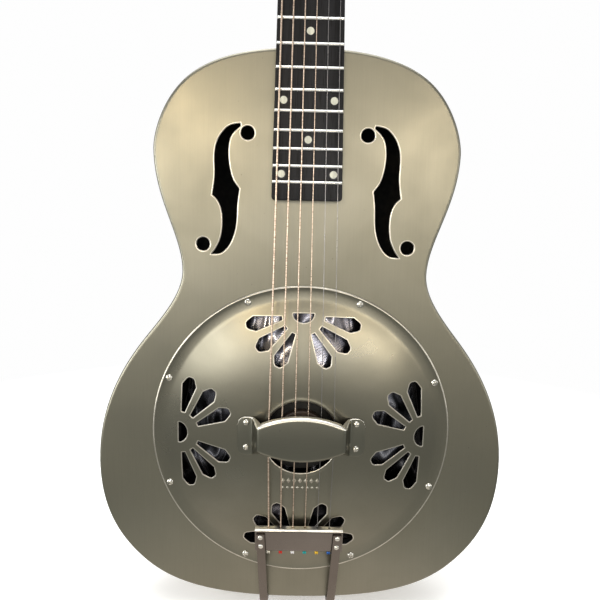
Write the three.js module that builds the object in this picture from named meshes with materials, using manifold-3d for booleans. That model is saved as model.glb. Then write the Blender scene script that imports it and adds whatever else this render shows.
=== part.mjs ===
// A metal-bodied resonator guitar with one spun cone, a biscuit bridge and a trapeze tailpiece.
// Millimetres. +Z runs up the neck, the strings face -Y, and +X is the treble side.
// The origin is the centre of the tail strap button's outer face.
import * as THREE from 'three';
import { mergeVertices } from 'three/addons/utils/BufferGeometryUtils.js';
import Module from 'manifold-3d';

const wasm = await Module();
wasm.setup();

// ---------- driving dimensions ----------
const SCALE_LENGTH = 635;           // nut to saddle
const SADDLE_Z = 167;               // the saddle's height above the tail button's face
const BODY_DEPTH = 82;
const SHEET = 1;                    // thickness of the body's sheet metal
const GAP = 0.3;                    // space left between pieces that touch
const TOP_Y = -BODY_DEPTH / 2;      // the body's front plane
const BACK_Y = BODY_DEPTH / 2;

// The right half of the body's outline, as Bezier curves from the neck down to the tail.
// Each point is [distance from the centre line, distance up the neck from the saddle].
const BODY_START = [0, 317.5];
const BODY_CURVES = [
  [[42.9, 317.5], [76.4, 310.7], [96.9, 293.7]],
  [[117.4, 276.7], [124.9, 249.3], [124.9, 237.1]],
  [[124.9, 196.1], [102, 167.3], [102, 138.5]],
  [[102, 121.9], [114.4, 105], [127.8, 88.2]],
  [[141.1, 71.5], [174.9, 31.9], [174.9, -30.1]],
  [[174.9, -69.3], [162.6, -96.1], [140.8, -117.7]],
  [[119, -139.4], [87.6, -156], [0, -156]],
];
const POINTS_PER_CURVE = 6;
const BODY_TOP_S = BODY_START[1];
const BODY_TAIL_S = -156;

// One f-shaped sound hole, as four smooth edges that meet in its four sharp tips.
const F_HOLE_EDGES = [
  [[54.8, 258], [63.5, 255.8], [69.8, 249.5], [73.8, 241.5], [75.2, 232], [75, 216], [77, 201]],
  [[77, 201], [72.6, 196.8], [69.4, 189], [68.6, 178], [70, 166.5], [73.8, 157.8], [77.6, 152.6]],
  [[77.6, 152.6], [69.7, 153.7], [63.2, 160], [59, 169.5], [57.1, 180], [56.4, 195], [54.9, 206]],
  [[54.9, 206], [60, 213.5], [63, 224], [64, 236], [62.8, 246.5], [59.4, 252.5], [54.8, 258]],
];
const F_DOTS = [[48.5, 250.6], [84.4, 160.8]];
const F_DOT_RADIUS = 5.5;

const COVER_RADIUS = 128;
const COVER_SCREW_CIRCLE = 122.5;
const COVER_SCREW_COUNT = 8;
const COVER_SHEET = 1;
const COVER_OPENING = 31.5;
const DOME_EDGE_RADIUS = 112;
const DOME_EDGE_HEIGHT = 6;
const DOME_TOP_HEIGHT = 14.5;
const WELL_OPENING = 119.2;
const WELL_DEPTH = 22.8;
const WELL_LEDGE_RADIUS = 107;
const CONE_RADIUS = 118;
const CONE_APEX_RADIUS = 24;
const CONE_APEX_HEIGHT = 1;

const FAN_CHORD_RADIUS = 105;       // where the flat side of each fan's D hole lies
const FAN_D_HALF_WIDTH = 9;
const FAN_D_DEPTH = 7.8;
const PETAL_ANGLES = [12.9, 38.6, 64.3, 115.7, 141.4, 167.1];
const PETAL_OUTLINE = [[18.5, 1.5], [42, 6.15], [47.6, 3.4], [49, 1.8]];

const BISCUIT_RADIUS = 22;
const BISCUIT_BOTTOM = 1.8;
const BISCUIT_TOP = 9.8;
const SADDLE_TOP = 25;
const SADDLE_HALF_LENGTH = 30;
const SADDLE_HALF_THICKNESS = 1.5;

const REST_UNDERSIDE = 32.6;        // the hand rest, above the body's front plane
const REST_SHEET = 1.6;
const REST_HALF_WIDTH = 37;
const REST_TAB_UNDERSIDE = 14.9;
const REST_TAB_END = 53;

const ANCHOR_TOP_S = -80;           // the tailpiece's string anchor
const ANCHOR_LOW_S = -100.5;
const ANCHOR_TOP_H = 21;
const TAIL_SLOPE = 0.213;           // how fast the tailpiece rises towards the saddle
const ANCHOR_HALF_WIDTH = 37.5;
const LEG_HALF_WIDTH = 3.6;
const LEG_X_TOP = 33;
const LEG_X_TAIL = 29.6;

const STRING_RADII = [0.21, 0.24, 0.35, 0.47, 0.58, 0.71];    // string 1 to string 6
const NUT_SPREAD = 36.8;            // outer string to outer string
const SADDLE_SPREAD = 54;
const ANCHOR_SPREAD = 52;

const BOARD_SLOPE = 0.034;          // the fretboard plane leans back by this much per millimetre
const BOARD_HEIGHT = 19.8;          // its height above the front plane, carried down to the saddle
const BOARD_THICKNESS = 6;
const BOARD_END = 197.8;
const BOARD_NUT_HALF_WIDTH = 21.5;
const BOARD_TAPER = 0.01545;        // growth of the half width per millimetre towards the body
const NUT_THICKNESS = 5;

const HEAD_TILT = THREE.MathUtils.degToRad(14);
const HEAD_START = 641;             // along the neck, from the saddle
const HEAD_LENGTH = 176;
const HEAD_THICKNESS = 15;
const POST_X = 22;
const POST_STEPS = [42, 84, 126];
const POST_RADIUS = 3;
const POST_BORE = 3.6;
const GEAR_TEETH = 14;
const GEAR_RADIUS = 6;
const WORM_DROP = 8.6;              // worm axis below post axis
const WORM_DEPTH = 18.9;            // worm axis behind the headstock's face

// ---------- materials ----------
const metal = (color, roughness) => new THREE.MeshStandardMaterial({ color, roughness, metalness: 1 });
const dull = (color, roughness) => new THREE.MeshStandardMaterial({ color, roughness, metalness: 0 });
const AGED_NICKEL = metal(0x8f8a74, 0.4);
const BRIGHT_NICKEL = metal(0xc9c6bc, 0.25);
const SPUN_ALUMINIUM = metal(0xcfd2d6, 0.3);
const BRONZE = metal(0xb98a5c, 0.35);
const STEEL = metal(0xcdd0d2, 0.3);
const BRASS = metal(0xb79a55, 0.35);
const MAHOGANY = dull(0x5a3420, 0.45);
const MAPLE = dull(0x2a221c, 0.6);
const EBONY = dull(0x2b2c30, 0.5);
const BONE = dull(0xe6dfca, 0.4);
const BLACK_LACQUER = dull(0x101010, 0.2);
const PINE = dull(0xb58f5f, 0.7);

// ---------- helpers ----------
const v2 = ([x, y]) => new THREE.Vector2(x, y);
const v3 = (x, y, z) => new THREE.Vector3(x, y, z);

// Shared vertices joined, flat triangles dropped, and every face turned outward.
function clean(geometry) {
  const bare = geometry.clone();
  bare.deleteAttribute('normal');
  bare.deleteAttribute('uv');
  const merged = mergeVertices(bare, 1e-4);
  const position = merged.attributes.position;
  const kept = [];
  let volume = 0;
  for (let i = 0; i < merged.index.count; i += 3) {
    const corners = [0, 1, 2].map((k) => merged.index.getX(i + k));
    if (new Set(corners).size < 3) continue;
    kept.push(corners);
    const [a, b, c] = corners.map((k) => new THREE.Vector3().fromBufferAttribute(position, k));
    volume += a.dot(b.cross(c));
  }
  const facing = volume < 0 ? kept.map(([a, b, c]) => [a, c, b]) : kept;
  merged.setIndex(facing.flat());
  return merged;
}

function toSolid(geometry) {
  const ready = clean(geometry);
  const vertProperties = new Float32Array(ready.attributes.position.array);
  const triVerts = new Uint32Array(ready.index.array);
  return new wasm.Manifold(new wasm.Mesh({ numProp: 3, vertProperties, triVerts }));
}

function fromSolid(solid) {
  const { vertProperties, triVerts } = solid.getMesh();
  const geometry = new THREE.BufferGeometry();
  geometry.setAttribute('position', new THREE.BufferAttribute(new Float32Array(vertProperties), 3));
  geometry.setIndex(new THREE.BufferAttribute(new Uint32Array(triVerts), 1));
  return geometry;
}

const subtract = (solid, tool) => solid.subtract(toSolid(tool));
const cut = (base, tools) => fromSolid(tools.reduce(subtract, toSolid(base)));
const add = (solid, piece) => solid.add(toSolid(piece));
const join = ([first, ...others]) => fromSolid(others.reduce(add, toSolid(first)));
const common = (a, b) => fromSolid(toSolid(a).intersect(toSolid(b)));

// A closed solid through rings of equal point counts, with flat ends.
function loft(rings) {
  const count = rings[0].length;
  const points = rings.flat();
  const index = [];
  for (let r = 0; r + 1 < rings.length; r += 1) {
    for (let i = 0; i < count; i += 1) {
      const a = r * count + i;
      const b = r * count + ((i + 1) % count);
      index.push(a, b, a + count, b, b + count, a + count);
    }
  }
  const ends = [[rings[0], 0, true], [rings.at(-1), points.length - count, false]];
  for (const [ring, start, flip] of ends) {
    const middle = ring.reduce((sum, p) => sum.clone().add(p), v3(0, 0, 0)).divideScalar(count);
    const hub = points.push(middle) - 1;
    for (let i = 0; i < count; i += 1) {
      const a = start + i;
      const b = start + ((i + 1) % count);
      index.push(...(flip ? [hub, b, a] : [hub, a, b]));
    }
  }
  const geometry = new THREE.BufferGeometry().setFromPoints(points);
  geometry.setIndex(index);
  return clean(geometry);
}

// A round bar of several straight runs, mitred where they meet.
function bar(path, radius, sides) {
  const rings = path.map((point, i) => {
    const before = point.clone().sub(path[Math.max(i - 1, 0)]).normalize();
    const after = path[Math.min(i + 1, path.length - 1)].clone().sub(point).normalize();
    const along = before.clone().add(after).normalize();
    const side = v3(0, 1, 0).cross(along).normalize();
    const up = along.clone().cross(side);
    return Array.from({ length: sides }, (_, k) => {
      const turn = (2 * Math.PI * (k + 0.5)) / sides;
      const out = side.clone().multiplyScalar(Math.cos(turn) * radius);
      return point.clone().add(out).addScaledVector(up, Math.sin(turn) * radius);
    });
  });
  return loft(rings);
}

// A line of points given a thickness: half of it on each side.
function thicken(line, thickness) {
  const normals = line.map((point, i) => {
    const before = i > 0 ? point.clone().sub(line[i - 1]).normalize() : null;
    const after = i < line.length - 1 ? line[i + 1].clone().sub(point).normalize() : null;
    const along = (before ?? after).clone().add(after ?? before).normalize();
    const stretch = 1 / along.dot(before ?? after);
    return v2([-along.y, along.x]).multiplyScalar((stretch * thickness) / 2);
  });
  const near = line.map((point, i) => point.clone().add(normals[i]));
  const far = line.map((point, i) => point.clone().sub(normals[i]));
  return [...near, ...far.reverse()];
}

// A flat plate parallel to the body's front, from its front face to its back face.
// Its shape is drawn with x to the right and y up the neck.
function plate(shape, frontY, backY) {
  const options = { depth: backY - frontY, bevelEnabled: false, curveSegments: 8 };
  const geometry = new THREE.ExtrudeGeometry(shape, options);
  return geometry.rotateX(Math.PI / 2).translate(0, backY, 0);
}

// A bent sheet: a side profile of [depth, height] points carried across from x0 to x1.
function acrossX(points, x0, x1) {
  const shape = new THREE.Shape(points);
  const geometry = new THREE.ExtrudeGeometry(shape, { depth: x1 - x0, bevelEnabled: false });
  return geometry.applyMatrix4(new THREE.Matrix4().set(0, 0, 1, x0, 1, 0, 0, 0, 0, 1, 0, 0, 0, 0, 0, 1));
}

// A turned piece about an axis square to the body's front, at the saddle.
// Its profile is [radius, height above the front plane].
function turnedAtSaddle(profile, segments) {
  const geometry = new THREE.LatheGeometry(profile.map(v2), segments);
  return geometry.rotateX(Math.PI).translate(0, TOP_Y, SADDLE_Z);
}

function box(x0, x1, y0, y1, z0, z1) {
  const geometry = new THREE.BoxGeometry(x1 - x0, y1 - y0, z1 - z0);
  return geometry.translate((x0 + x1) / 2, (y0 + y1) / 2, (z0 + z1) / 2);
}

// A round rod along one axis, from start to end on that axis.
function rod(axis, radius, start, end, sides, across = [0, 0]) {
  const geometry = new THREE.CylinderGeometry(radius, radius, end - start, sides);
  geometry.translate(0, (start + end) / 2, 0);
  if (axis === 'x') return geometry.rotateZ(-Math.PI / 2).translate(0, across[0], across[1]);
  if (axis === 'y') return geometry.translate(across[0], 0, across[1]);
  return geometry.rotateX(Math.PI / 2).translate(across[0], across[1], 0);
}

const guitar = new THREE.Group();
const neckGroup = new THREE.Group();     // x across, y back from the fretboard's face, z up the neck
neckGroup.position.set(0, TOP_Y - BOARD_HEIGHT, SADDLE_Z);
neckGroup.rotation.x = -Math.atan(BOARD_SLOPE);
const headGroup = new THREE.Group();     // x across, y back from the headstock's face, z up it
headGroup.position.set(0, BOARD_THICKNESS, HEAD_START);
headGroup.rotation.x = -HEAD_TILT;
neckGroup.add(headGroup);
guitar.add(neckGroup);
guitar.updateMatrixWorld(true);

function addPiece(group, name, geometry, material) {
  const mesh = new THREE.Mesh(clean(geometry), material);
  mesh.name = name;
  group.add(mesh);
}

// ---------- body ----------
function bodyOutline(inset) {
  const half = [];
  let start = v2(BODY_START);
  for (const [a, b, end] of BODY_CURVES) {
    const curve = new THREE.CubicBezierCurve(start, v2(a), v2(b), v2(end));
    for (let i = 0; i < POINTS_PER_CURVE; i += 1) {
      const t = i / POINTS_PER_CURVE;
      const along = curve.getTangent(t);
      half.push(curve.getPoint(t).add(v2([along.y, -along.x]).multiplyScalar(inset)));
    }
    start = v2(end);
  }
  const tail = v2([0, BODY_TAIL_S + inset]);
  const left = half.slice(1).reverse().map((p) => v2([-p.x, p.y]));
  const anticlockwise = [...half, tail, ...left].reverse();
  return anticlockwise.map((p) => v2([p.x, p.y + SADDLE_Z]));
}

function circle(x, s, radius) {
  return new THREE.Path().absarc(x, s + SADDLE_Z, radius, 0, 2 * Math.PI, true);
}

function fHole(side) {
  const edgePoints = (edge) => new THREE.SplineCurve(edge.map(v2)).getPoints(7).slice(0, -1);
  const points = F_HOLE_EDGES.flatMap(edgePoints);
  return new THREE.Path(points.map((p) => v2([side * p.x, p.y + SADDLE_Z])));
}

const screwPlaces = Array.from({ length: COVER_SCREW_COUNT }, (_, i) => {
  const turn = (2 * Math.PI * (i + 0.5)) / COVER_SCREW_COUNT;
  return [COVER_SCREW_CIRCLE * Math.cos(turn), COVER_SCREW_CIRCLE * Math.sin(turn)];
});
const SCREW_HOLE = 1.8;
const screwHoles = () => screwPlaces.map(([x, s]) =>
  rod('y', SCREW_HOLE, TOP_Y - 9, TOP_Y + 5, 8, [x, s + SADDLE_Z]));

function bodyTop() {
  const shape = new THREE.Shape(bodyOutline(0));
  const well = new THREE.Path().absarc(0, SADDLE_Z, WELL_OPENING, 0, 2 * Math.PI, true);
  shape.holes.push(new THREE.Path(well.getPoints(32).slice(0, -1)));
  for (const side of [-1, 1]) {
    shape.holes.push(fHole(side));
    for (const [x, s] of F_DOTS) shape.holes.push(circle(side * x, s, F_DOT_RADIUS));
  }
  return cut(plate(shape, TOP_Y, TOP_Y + SHEET), screwHoles());
}

const STICK_HALF_WIDTH = 16;
const STICK_FRONT = -15;
const STICK_BACK = 8;

function bodyRim() {
  const shape = new THREE.Shape(bodyOutline(0));
  shape.holes.push(new THREE.Path(bodyOutline(SHEET)));
  const ring = plate(shape, TOP_Y + SHEET + GAP, BACK_Y - SHEET - GAP);
  const neckEnd = BODY_TOP_S + SADDLE_Z;
  const stickHole = box(-STICK_HALF_WIDTH - GAP, STICK_HALF_WIDTH + GAP,
    STICK_FRONT - GAP, STICK_BACK + GAP, neckEnd - 5, neckEnd + 5);
  const buttonHole = rod('z', 2.6, 5, 20, 10, [0, 0]);
  return cut(ring, [stickHole, buttonHole]);
}

addPiece(guitar, 'body_top', bodyTop(), AGED_NICKEL);
addPiece(guitar, 'body_rim', bodyRim(), AGED_NICKEL);
const backPlate = plate(new THREE.Shape(bodyOutline(0)), BACK_Y - SHEET, BACK_Y);
addPiece(guitar, 'body_back', backPlate, AGED_NICKEL);

const TAIL_Z = BODY_TAIL_S + SADDLE_Z;
const BLOCK_TOP = 34;
addPiece(guitar, 'neck_stick', box(-STICK_HALF_WIDTH, STICK_HALF_WIDTH, STICK_FRONT, STICK_BACK,
  BLOCK_TOP + GAP, BODY_TOP_S + SADDLE_Z), PINE);
const endBlock = box(-28, 28, -20, 20, TAIL_Z + SHEET + 2, BLOCK_TOP);
addPiece(guitar, 'end_block', cut(endBlock, [rod('z', 2.6, 5, 26, 10)]), PINE);

// ---------- cone and bridge ----------
const profileOf = (line, thickness) => {
  const closed = thicken(line.map(v2), thickness);
  return [...closed, closed[0]].map((p) => [p.x, p.y]);
};
const WELL_WALL = WELL_OPENING + SHEET / 2;
const wellLine = [[WELL_WALL, -SHEET - 0.5], [WELL_WALL, -WELL_DEPTH], [WELL_LEDGE_RADIUS, -WELL_DEPTH]];
addPiece(guitar, 'cone_well', turnedAtSaddle(profileOf(wellLine, SHEET), 36), AGED_NICKEL);

const CONE_SHEET = 0.8;
const coneLine = [[CONE_RADIUS, -21.6], [112.5, -21.6], [110, -20.6],
  [CONE_APEX_RADIUS + 3, CONE_APEX_HEIGHT - 0.7], [CONE_APEX_RADIUS, CONE_APEX_HEIGHT],
  [2, CONE_APEX_HEIGHT]];
addPiece(guitar, 'cone', turnedAtSaddle(profileOf(coneLine, CONE_SHEET), 32), SPUN_ALUMINIUM);

const BISCUIT_SLOT = 7.5;
const biscuitDisc = turnedAtSaddle([[1.9, BISCUIT_BOTTOM], [BISCUIT_RADIUS, BISCUIT_BOTTOM],
  [BISCUIT_RADIUS, BISCUIT_TOP], [1.9, BISCUIT_TOP], [1.9, BISCUIT_BOTTOM]], 24);
const slotHalf = SADDLE_HALF_THICKNESS + GAP;
const biscuitSlot = box(-40, 40, TOP_Y - 20, TOP_Y - BISCUIT_SLOT,
  SADDLE_Z - slotHalf, SADDLE_Z + slotHalf);
addPiece(guitar, 'biscuit', cut(biscuitDisc, [biscuitSlot]), MAPLE);

const saddleFoot = box(-BISCUIT_RADIUS + 1, BISCUIT_RADIUS - 1, TOP_Y - 11, TOP_Y - BISCUIT_SLOT - GAP,
  SADDLE_Z - SADDLE_HALF_THICKNESS, SADDLE_Z + SADDLE_HALF_THICKNESS);
const saddleBlade = box(-SADDLE_HALF_LENGTH, SADDLE_HALF_LENGTH,
  TOP_Y - SADDLE_TOP, TOP_Y - BISCUIT_TOP - GAP,
  SADDLE_Z - SADDLE_HALF_THICKNESS, SADDLE_Z + SADDLE_HALF_THICKNESS);
addPiece(guitar, 'saddle', join([saddleFoot, saddleBlade]), MAPLE);
const biscuitScrew = [[0, -3], [4, -2.6], [4, -0.2], [1.5, -0.2], [1.5, 6.5], [0, 6.5]];
addPiece(guitar, 'biscuit_screw', turnedAtSaddle(biscuitScrew, 12), STEEL);

// ---------- coverplate ----------
// The dome falls from the central opening towards its edge.
function domeHeight(radius) {
  const t = (radius - COVER_OPENING) / (DOME_EDGE_RADIUS - COVER_OPENING);
  return DOME_EDGE_HEIGHT + (DOME_TOP_HEIGHT - DOME_EDGE_HEIGHT) * (1 - t * t);
}

function fanHoles(turn) {
  const chord = FAN_CHORD_RADIUS;
  const dShape = new THREE.Shape();
  dShape.absellipse(0, chord, FAN_D_HALF_WIDTH, FAN_D_DEPTH, Math.PI, 2 * Math.PI);
  const petals = PETAL_ANGLES.map((degrees) => {
    const a = THREE.MathUtils.degToRad(degrees);
    const place = ([along, half]) => v2([along * Math.cos(a) + half * Math.sin(a),
      chord - along * Math.sin(a) + half * Math.cos(a)]);
    const there = PETAL_OUTLINE.map(place);
    const back = PETAL_OUTLINE.map(([along, half]) => place([along, -half])).reverse();
    return new THREE.Shape([...there, ...back]);
  });
  return [dShape, ...petals].map((shape) => plate(shape, TOP_Y - 30, TOP_Y + 5).rotateY(turn));
}

const domeRadii = [COVER_OPENING, 62, 90, DOME_EDGE_RADIUS];
const coverLine = [...domeRadii.map((r) => [r, domeHeight(r)]),
  [115.4, 4.4], [117.6, 0.8], [COVER_RADIUS, 0.8]];

function coverplate() {
  const shell = turnedAtSaddle(profileOf(coverLine, COVER_SHEET), 40);
  const fans = [0, 0.5, 1, 1.5].flatMap((halfTurns) => fanHoles(halfTurns * Math.PI));
  for (const hole of fans) hole.translate(0, 0, SADDLE_Z);
  return cut(shell, [...fans, ...screwHoles()]);
}

addPiece(guitar, 'coverplate', coverplate(), AGED_NICKEL);
screwPlaces.forEach(([x, s], i) => {
  const profile = [[0, 3.4], [1.6, 3.2], [3, 1.7], [1.3, 1.7], [1.3, -7], [0, -8]];
  const screw = new THREE.LatheGeometry(profile.map(v2), 10).rotateX(Math.PI);
  addPiece(guitar, `cover_screw_${i + 1}`, screw.translate(x, TOP_Y, s + SADDLE_Z), BRIGHT_NICKEL);
});

// ---------- hand rest ----------
function handrest() {
  const top = REST_UNDERSIDE + REST_SHEET / 2;
  const tab = REST_TAB_UNDERSIDE + REST_SHEET / 2;
  const right = [[REST_HALF_WIDTH - 6, top], [REST_HALF_WIDTH - 1.5, top - 1],
    [REST_HALF_WIDTH + 1, top - 4], [41.6, tab + 1], [43.2, tab], [REST_TAB_END, tab]];
  const left = right.map(([x, h]) => [-x, h]).reverse();
  const profile = thicken([...left, ...right].map(([x, h]) => v2([x, TOP_Y - h])), REST_SHEET);
  const strap = new THREE.ExtrudeGeometry(new THREE.Shape(profile), { depth: 60, bevelEnabled: false });
  strap.translate(0, 0, SADDLE_Z - 25);
  const outline = new THREE.Shape();
  outline.moveTo(-REST_HALF_WIDTH, 16).quadraticCurveTo(0, 32, REST_HALF_WIDTH, 16);
  const tabEdge = REST_TAB_END - 1;
  outline.lineTo(45, 17.5).quadraticCurveTo(51.5, 17, tabEdge, 11).lineTo(tabEdge, -9.5);
  outline.quadraticCurveTo(51.5, -15, 45, -15.5).lineTo(REST_HALF_WIDTH, -5);
  outline.quadraticCurveTo(0, -22, -REST_HALF_WIDTH, -5).lineTo(-45, -15.5);
  outline.quadraticCurveTo(-51.5, -15, -tabEdge, -9.5).lineTo(-tabEdge, 11);
  outline.quadraticCurveTo(-51.5, 17, -45, 17.5);
  const prism = plate(outline, TOP_Y - 60, TOP_Y).translate(0, 0, SADDLE_Z);
  return common(strap, prism);
}
addPiece(guitar, 'handrest', handrest(), AGED_NICKEL);

// ---------- tailpiece ----------
const tailHeight = (s) => ANCHOR_TOP_H + TAIL_SLOPE * (s - ANCHOR_TOP_S);
const sidePoint = (s, h) => v2([TOP_Y - h, s + SADDLE_Z]);
const stringX = (index, spread) => spread * (0.5 - (index - 1) / 5);
const STRING_NUMBERS = [1, 2, 3, 4, 5, 6];
const BALL_RADIUS = 1.9;
const ANCHOR_SHEET = 1.6;
const LIP_HOLE_H = 17.2;
const BALL_H = tailHeight(ANCHOR_LOW_S) - 3.6;

function tailAnchor() {
  const line = [sidePoint(ANCHOR_TOP_S + 0.8, ANCHOR_TOP_H - 6),
    sidePoint(ANCHOR_TOP_S + 0.5, ANCHOR_TOP_H - 0.8),
    sidePoint(ANCHOR_TOP_S - 0.8, ANCHOR_TOP_H),
    sidePoint(ANCHOR_LOW_S + 1, tailHeight(ANCHOR_LOW_S + 1)),
    sidePoint(ANCHOR_LOW_S, tailHeight(ANCHOR_LOW_S) - 1),
    sidePoint(ANCHOR_LOW_S, tailHeight(ANCHOR_LOW_S) - 6)];
  const sheet = acrossX(thicken(line, ANCHOR_SHEET), -ANCHOR_HALF_WIDTH, ANCHOR_HALF_WIDTH);
  const holes = STRING_NUMBERS.flatMap((n) => {
    const x = stringX(n, ANCHOR_SPREAD);
    const lipHole = (s, h) => rod('z', 1.1, SADDLE_Z + s - 3, SADDLE_Z + s + 4, 8, [x, TOP_Y - h]);
    return [lipHole(ANCHOR_TOP_S, LIP_HOLE_H), lipHole(ANCHOR_LOW_S, BALL_H)];
  });
  return cut(sheet, holes);
}
addPiece(guitar, 'tail_anchor', tailAnchor(), BRIGHT_NICKEL);

// Each leg lies on the anchor, runs down over the tail edge and ends in an eye on the hinge pin.
const HINGE_Y = -24;
const HINGE_Z = 5.5;
const PIN_RADIUS = 1.6;
const LEG_SHEET = 1.6;
const EYE_RADIUS = 3.2;

function tailLeg(side) {
  const lift = ANCHOR_SHEET / 2 + GAP + LEG_SHEET / 2;
  const foot = BODY_TAIL_S - 3.2;
  const line = [sidePoint(ANCHOR_TOP_S - 2.5, tailHeight(ANCHOR_TOP_S - 2.5) + lift),
    sidePoint(-148, tailHeight(-148) + lift), sidePoint(-155, tailHeight(-155) + lift - 1.5),
    sidePoint(foot + 0.8, 3.5), sidePoint(foot, 0),
    v2([HINGE_Y - 6, foot + SADDLE_Z]), v2([HINGE_Y, HINGE_Z])];
  const edges = [LEG_X_TAIL - LEG_HALF_WIDTH, LEG_X_TAIL + LEG_HALF_WIDTH];
  const strap = acrossX(thicken(line, LEG_SHEET), ...edges);
  const eye = rod('x', EYE_RADIUS, ...edges, 14, [HINGE_Y, HINGE_Z]);
  const rivets = [-85.5, -94.5].map((s) => {
    const profile = [[0, 1.6], [1.5, 1.2], [2.2, 0], [2.2, -0.5], [0, -0.5]];
    const head = new THREE.LatheGeometry(profile.map(v2), 10).rotateX(Math.PI);
    return head.translate(LEG_X_TAIL, TOP_Y - tailHeight(s) - lift - LEG_SHEET / 2, s + SADDLE_Z);
  });
  const pinHole = rod('x', PIN_RADIUS + GAP, LEG_X_TAIL - 10, LEG_X_TAIL + 10, 12, [HINGE_Y, HINGE_Z]);
  const leg = cut(join([strap, eye, ...rivets]), [pinHole]);
  const lean = (LEG_X_TOP - LEG_X_TAIL) / (ANCHOR_TOP_S - BODY_TAIL_S);
  const place = leg.attributes.position;
  for (let i = 0; i < place.count; i += 1) {
    const climb = Math.max(place.getZ(i) - SADDLE_Z - BODY_TAIL_S, 0);
    place.setX(i, side * (place.getX(i) + lean * climb));
  }
  return leg;
}
addPiece(guitar, 'tail_leg_left', tailLeg(-1), AGED_NICKEL);
addPiece(guitar, 'tail_leg_right', tailLeg(1), AGED_NICKEL);

const PIN_HALF_LENGTH = 37;
const hingePin = rod('x', PIN_RADIUS, -PIN_HALF_LENGTH, PIN_HALF_LENGTH, 12, [HINGE_Y, HINGE_Z]);
addPiece(guitar, 'tail_hinge_pin', hingePin, STEEL);

function tailBracket() {
  const base = box(-24, 24, HINGE_Y - 3, 17, TAIL_Z - GAP - 1.6, TAIL_Z - GAP);
  const knuckle = rod('x', EYE_RADIUS, -24, 24, 14, [HINGE_Y, HINGE_Z]);
  const web = box(-24, 24, HINGE_Y - 1, HINGE_Y + 1.5, HINGE_Z, TAIL_Z - GAP - 1);
  const pinHole = rod('x', PIN_RADIUS + GAP, -30, 30, 12, [HINGE_Y, HINGE_Z]);
  const buttonHole = rod('z', 2.6, 5, 20, 10, [0, 0]);
  return cut(join([base, knuckle, web]), [pinHole, buttonHole]);
}
addPiece(guitar, 'tail_bracket', tailBracket(), AGED_NICKEL);

// ---------- strap buttons ----------
const BUTTON_PROFILE = [[0, 0], [6, 0], [7, 1], [6.6, 2.4], [4.2, 3.4], [3.8, 6], [5, 8.4],
  [2.1, 8.4], [2.1, 22], [0, 24]];
const buttonShape = () => new THREE.LatheGeometry(BUTTON_PROFILE.map(v2), 16).rotateX(Math.PI / 2);
addPiece(guitar, 'tail_button', buttonShape(), BRIGHT_NICKEL);

// ---------- neck ----------
const HEEL_FACE = BODY_TOP_S + GAP;
// Each is [distance up the neck, depth behind the board, half width at the back].
const NECK_DEPTHS = [[HEEL_FACE - 5, 74, 20], [324, 70, 20.5], [331, 60, 21.5], [339, 46, 23],
  [348, 34, 24.4], [359, 26, 25.2], [373, 21.5, 25.2], [392, 19.6, 24.9], [440, 18.8, 24.2],
  [540, 17.2, 22.6], [622, 15.8, 21.4], [634, 16.2, 21.5], [647, 19, 22]];
const NECK_SIDES = 12;
const boardHalfWidth = (z) => BOARD_NUT_HALF_WIDTH + (SCALE_LENGTH - z) * BOARD_TAPER;

// Half a rounded section: full width at the fretboard, drawn in towards the back.
function neckRing(z, depth, bottomHalf) {
  const top = boardHalfWidth(Math.min(z, SCALE_LENGTH)) - 0.2;
  const front = BOARD_THICKNESS + GAP;
  const narrow = bottomHalf / boardHalfWidth(Math.min(z, SCALE_LENGTH));
  return Array.from({ length: NECK_SIDES }, (_, i) => {
    const turn = (Math.PI * i) / (NECK_SIDES - 1);
    const across = Math.sign(Math.cos(turn)) * Math.abs(Math.cos(turn)) ** 0.75;
    const back = Math.sin(turn) ** 0.75;
    const squeeze = 1 - (1 - narrow) * back;
    return v3(top * across * squeeze, front + depth * back, z);
  });
}

const ROD_DEPTH = 14;               // truss rod axis behind the fretboard's face
const ROD_RADIUS = 2.5;
const NUT_START = 649;

// The headstock's outline, from its narrow foot to its arched top.
function headOutline() {
  const shape = new THREE.Shape();
  shape.moveTo(-21.5, 0).quadraticCurveTo(-23, 12, -31, 19).lineTo(-36.5, 166);
  shape.quadraticCurveTo(-36, 172, -30, 172).quadraticCurveTo(0, HEAD_LENGTH + 4, 30, 172);
  shape.quadraticCurveTo(36, 172, 36.5, 166).lineTo(31, 19).quadraticCurveTo(23, 12, 21.5, 0);
  return shape;
}

const inHead = (geometry) => geometry.applyMatrix4(headGroup.matrix);
const postPlaces = STRING_NUMBERS.map((n) => {
  const side = n <= 3 ? 1 : -1;
  const step = n <= 3 ? n - 1 : 6 - n;
  return { number: n, side, z: POST_STEPS[step] };
});

const inNeck = (geometry) => geometry.applyMatrix4(neckGroup.matrixWorld.clone().invert());

// The tongue of neck wood that carries the fretboard over the body.
function neckTongue() {
  const underBoard = (s) => BOARD_HEIGHT - BOARD_SLOPE * s - BOARD_THICKNESS - GAP - 0.05;
  const root = BODY_TOP_S + 8;
  const points = [sidePoint(BOARD_END + 5, GAP), sidePoint(root, GAP),
    sidePoint(root, underBoard(root)), sidePoint(BOARD_END + 5, underBoard(BOARD_END + 5))];
  return inNeck(acrossX(points, -25.4, 25.4));
}

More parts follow.
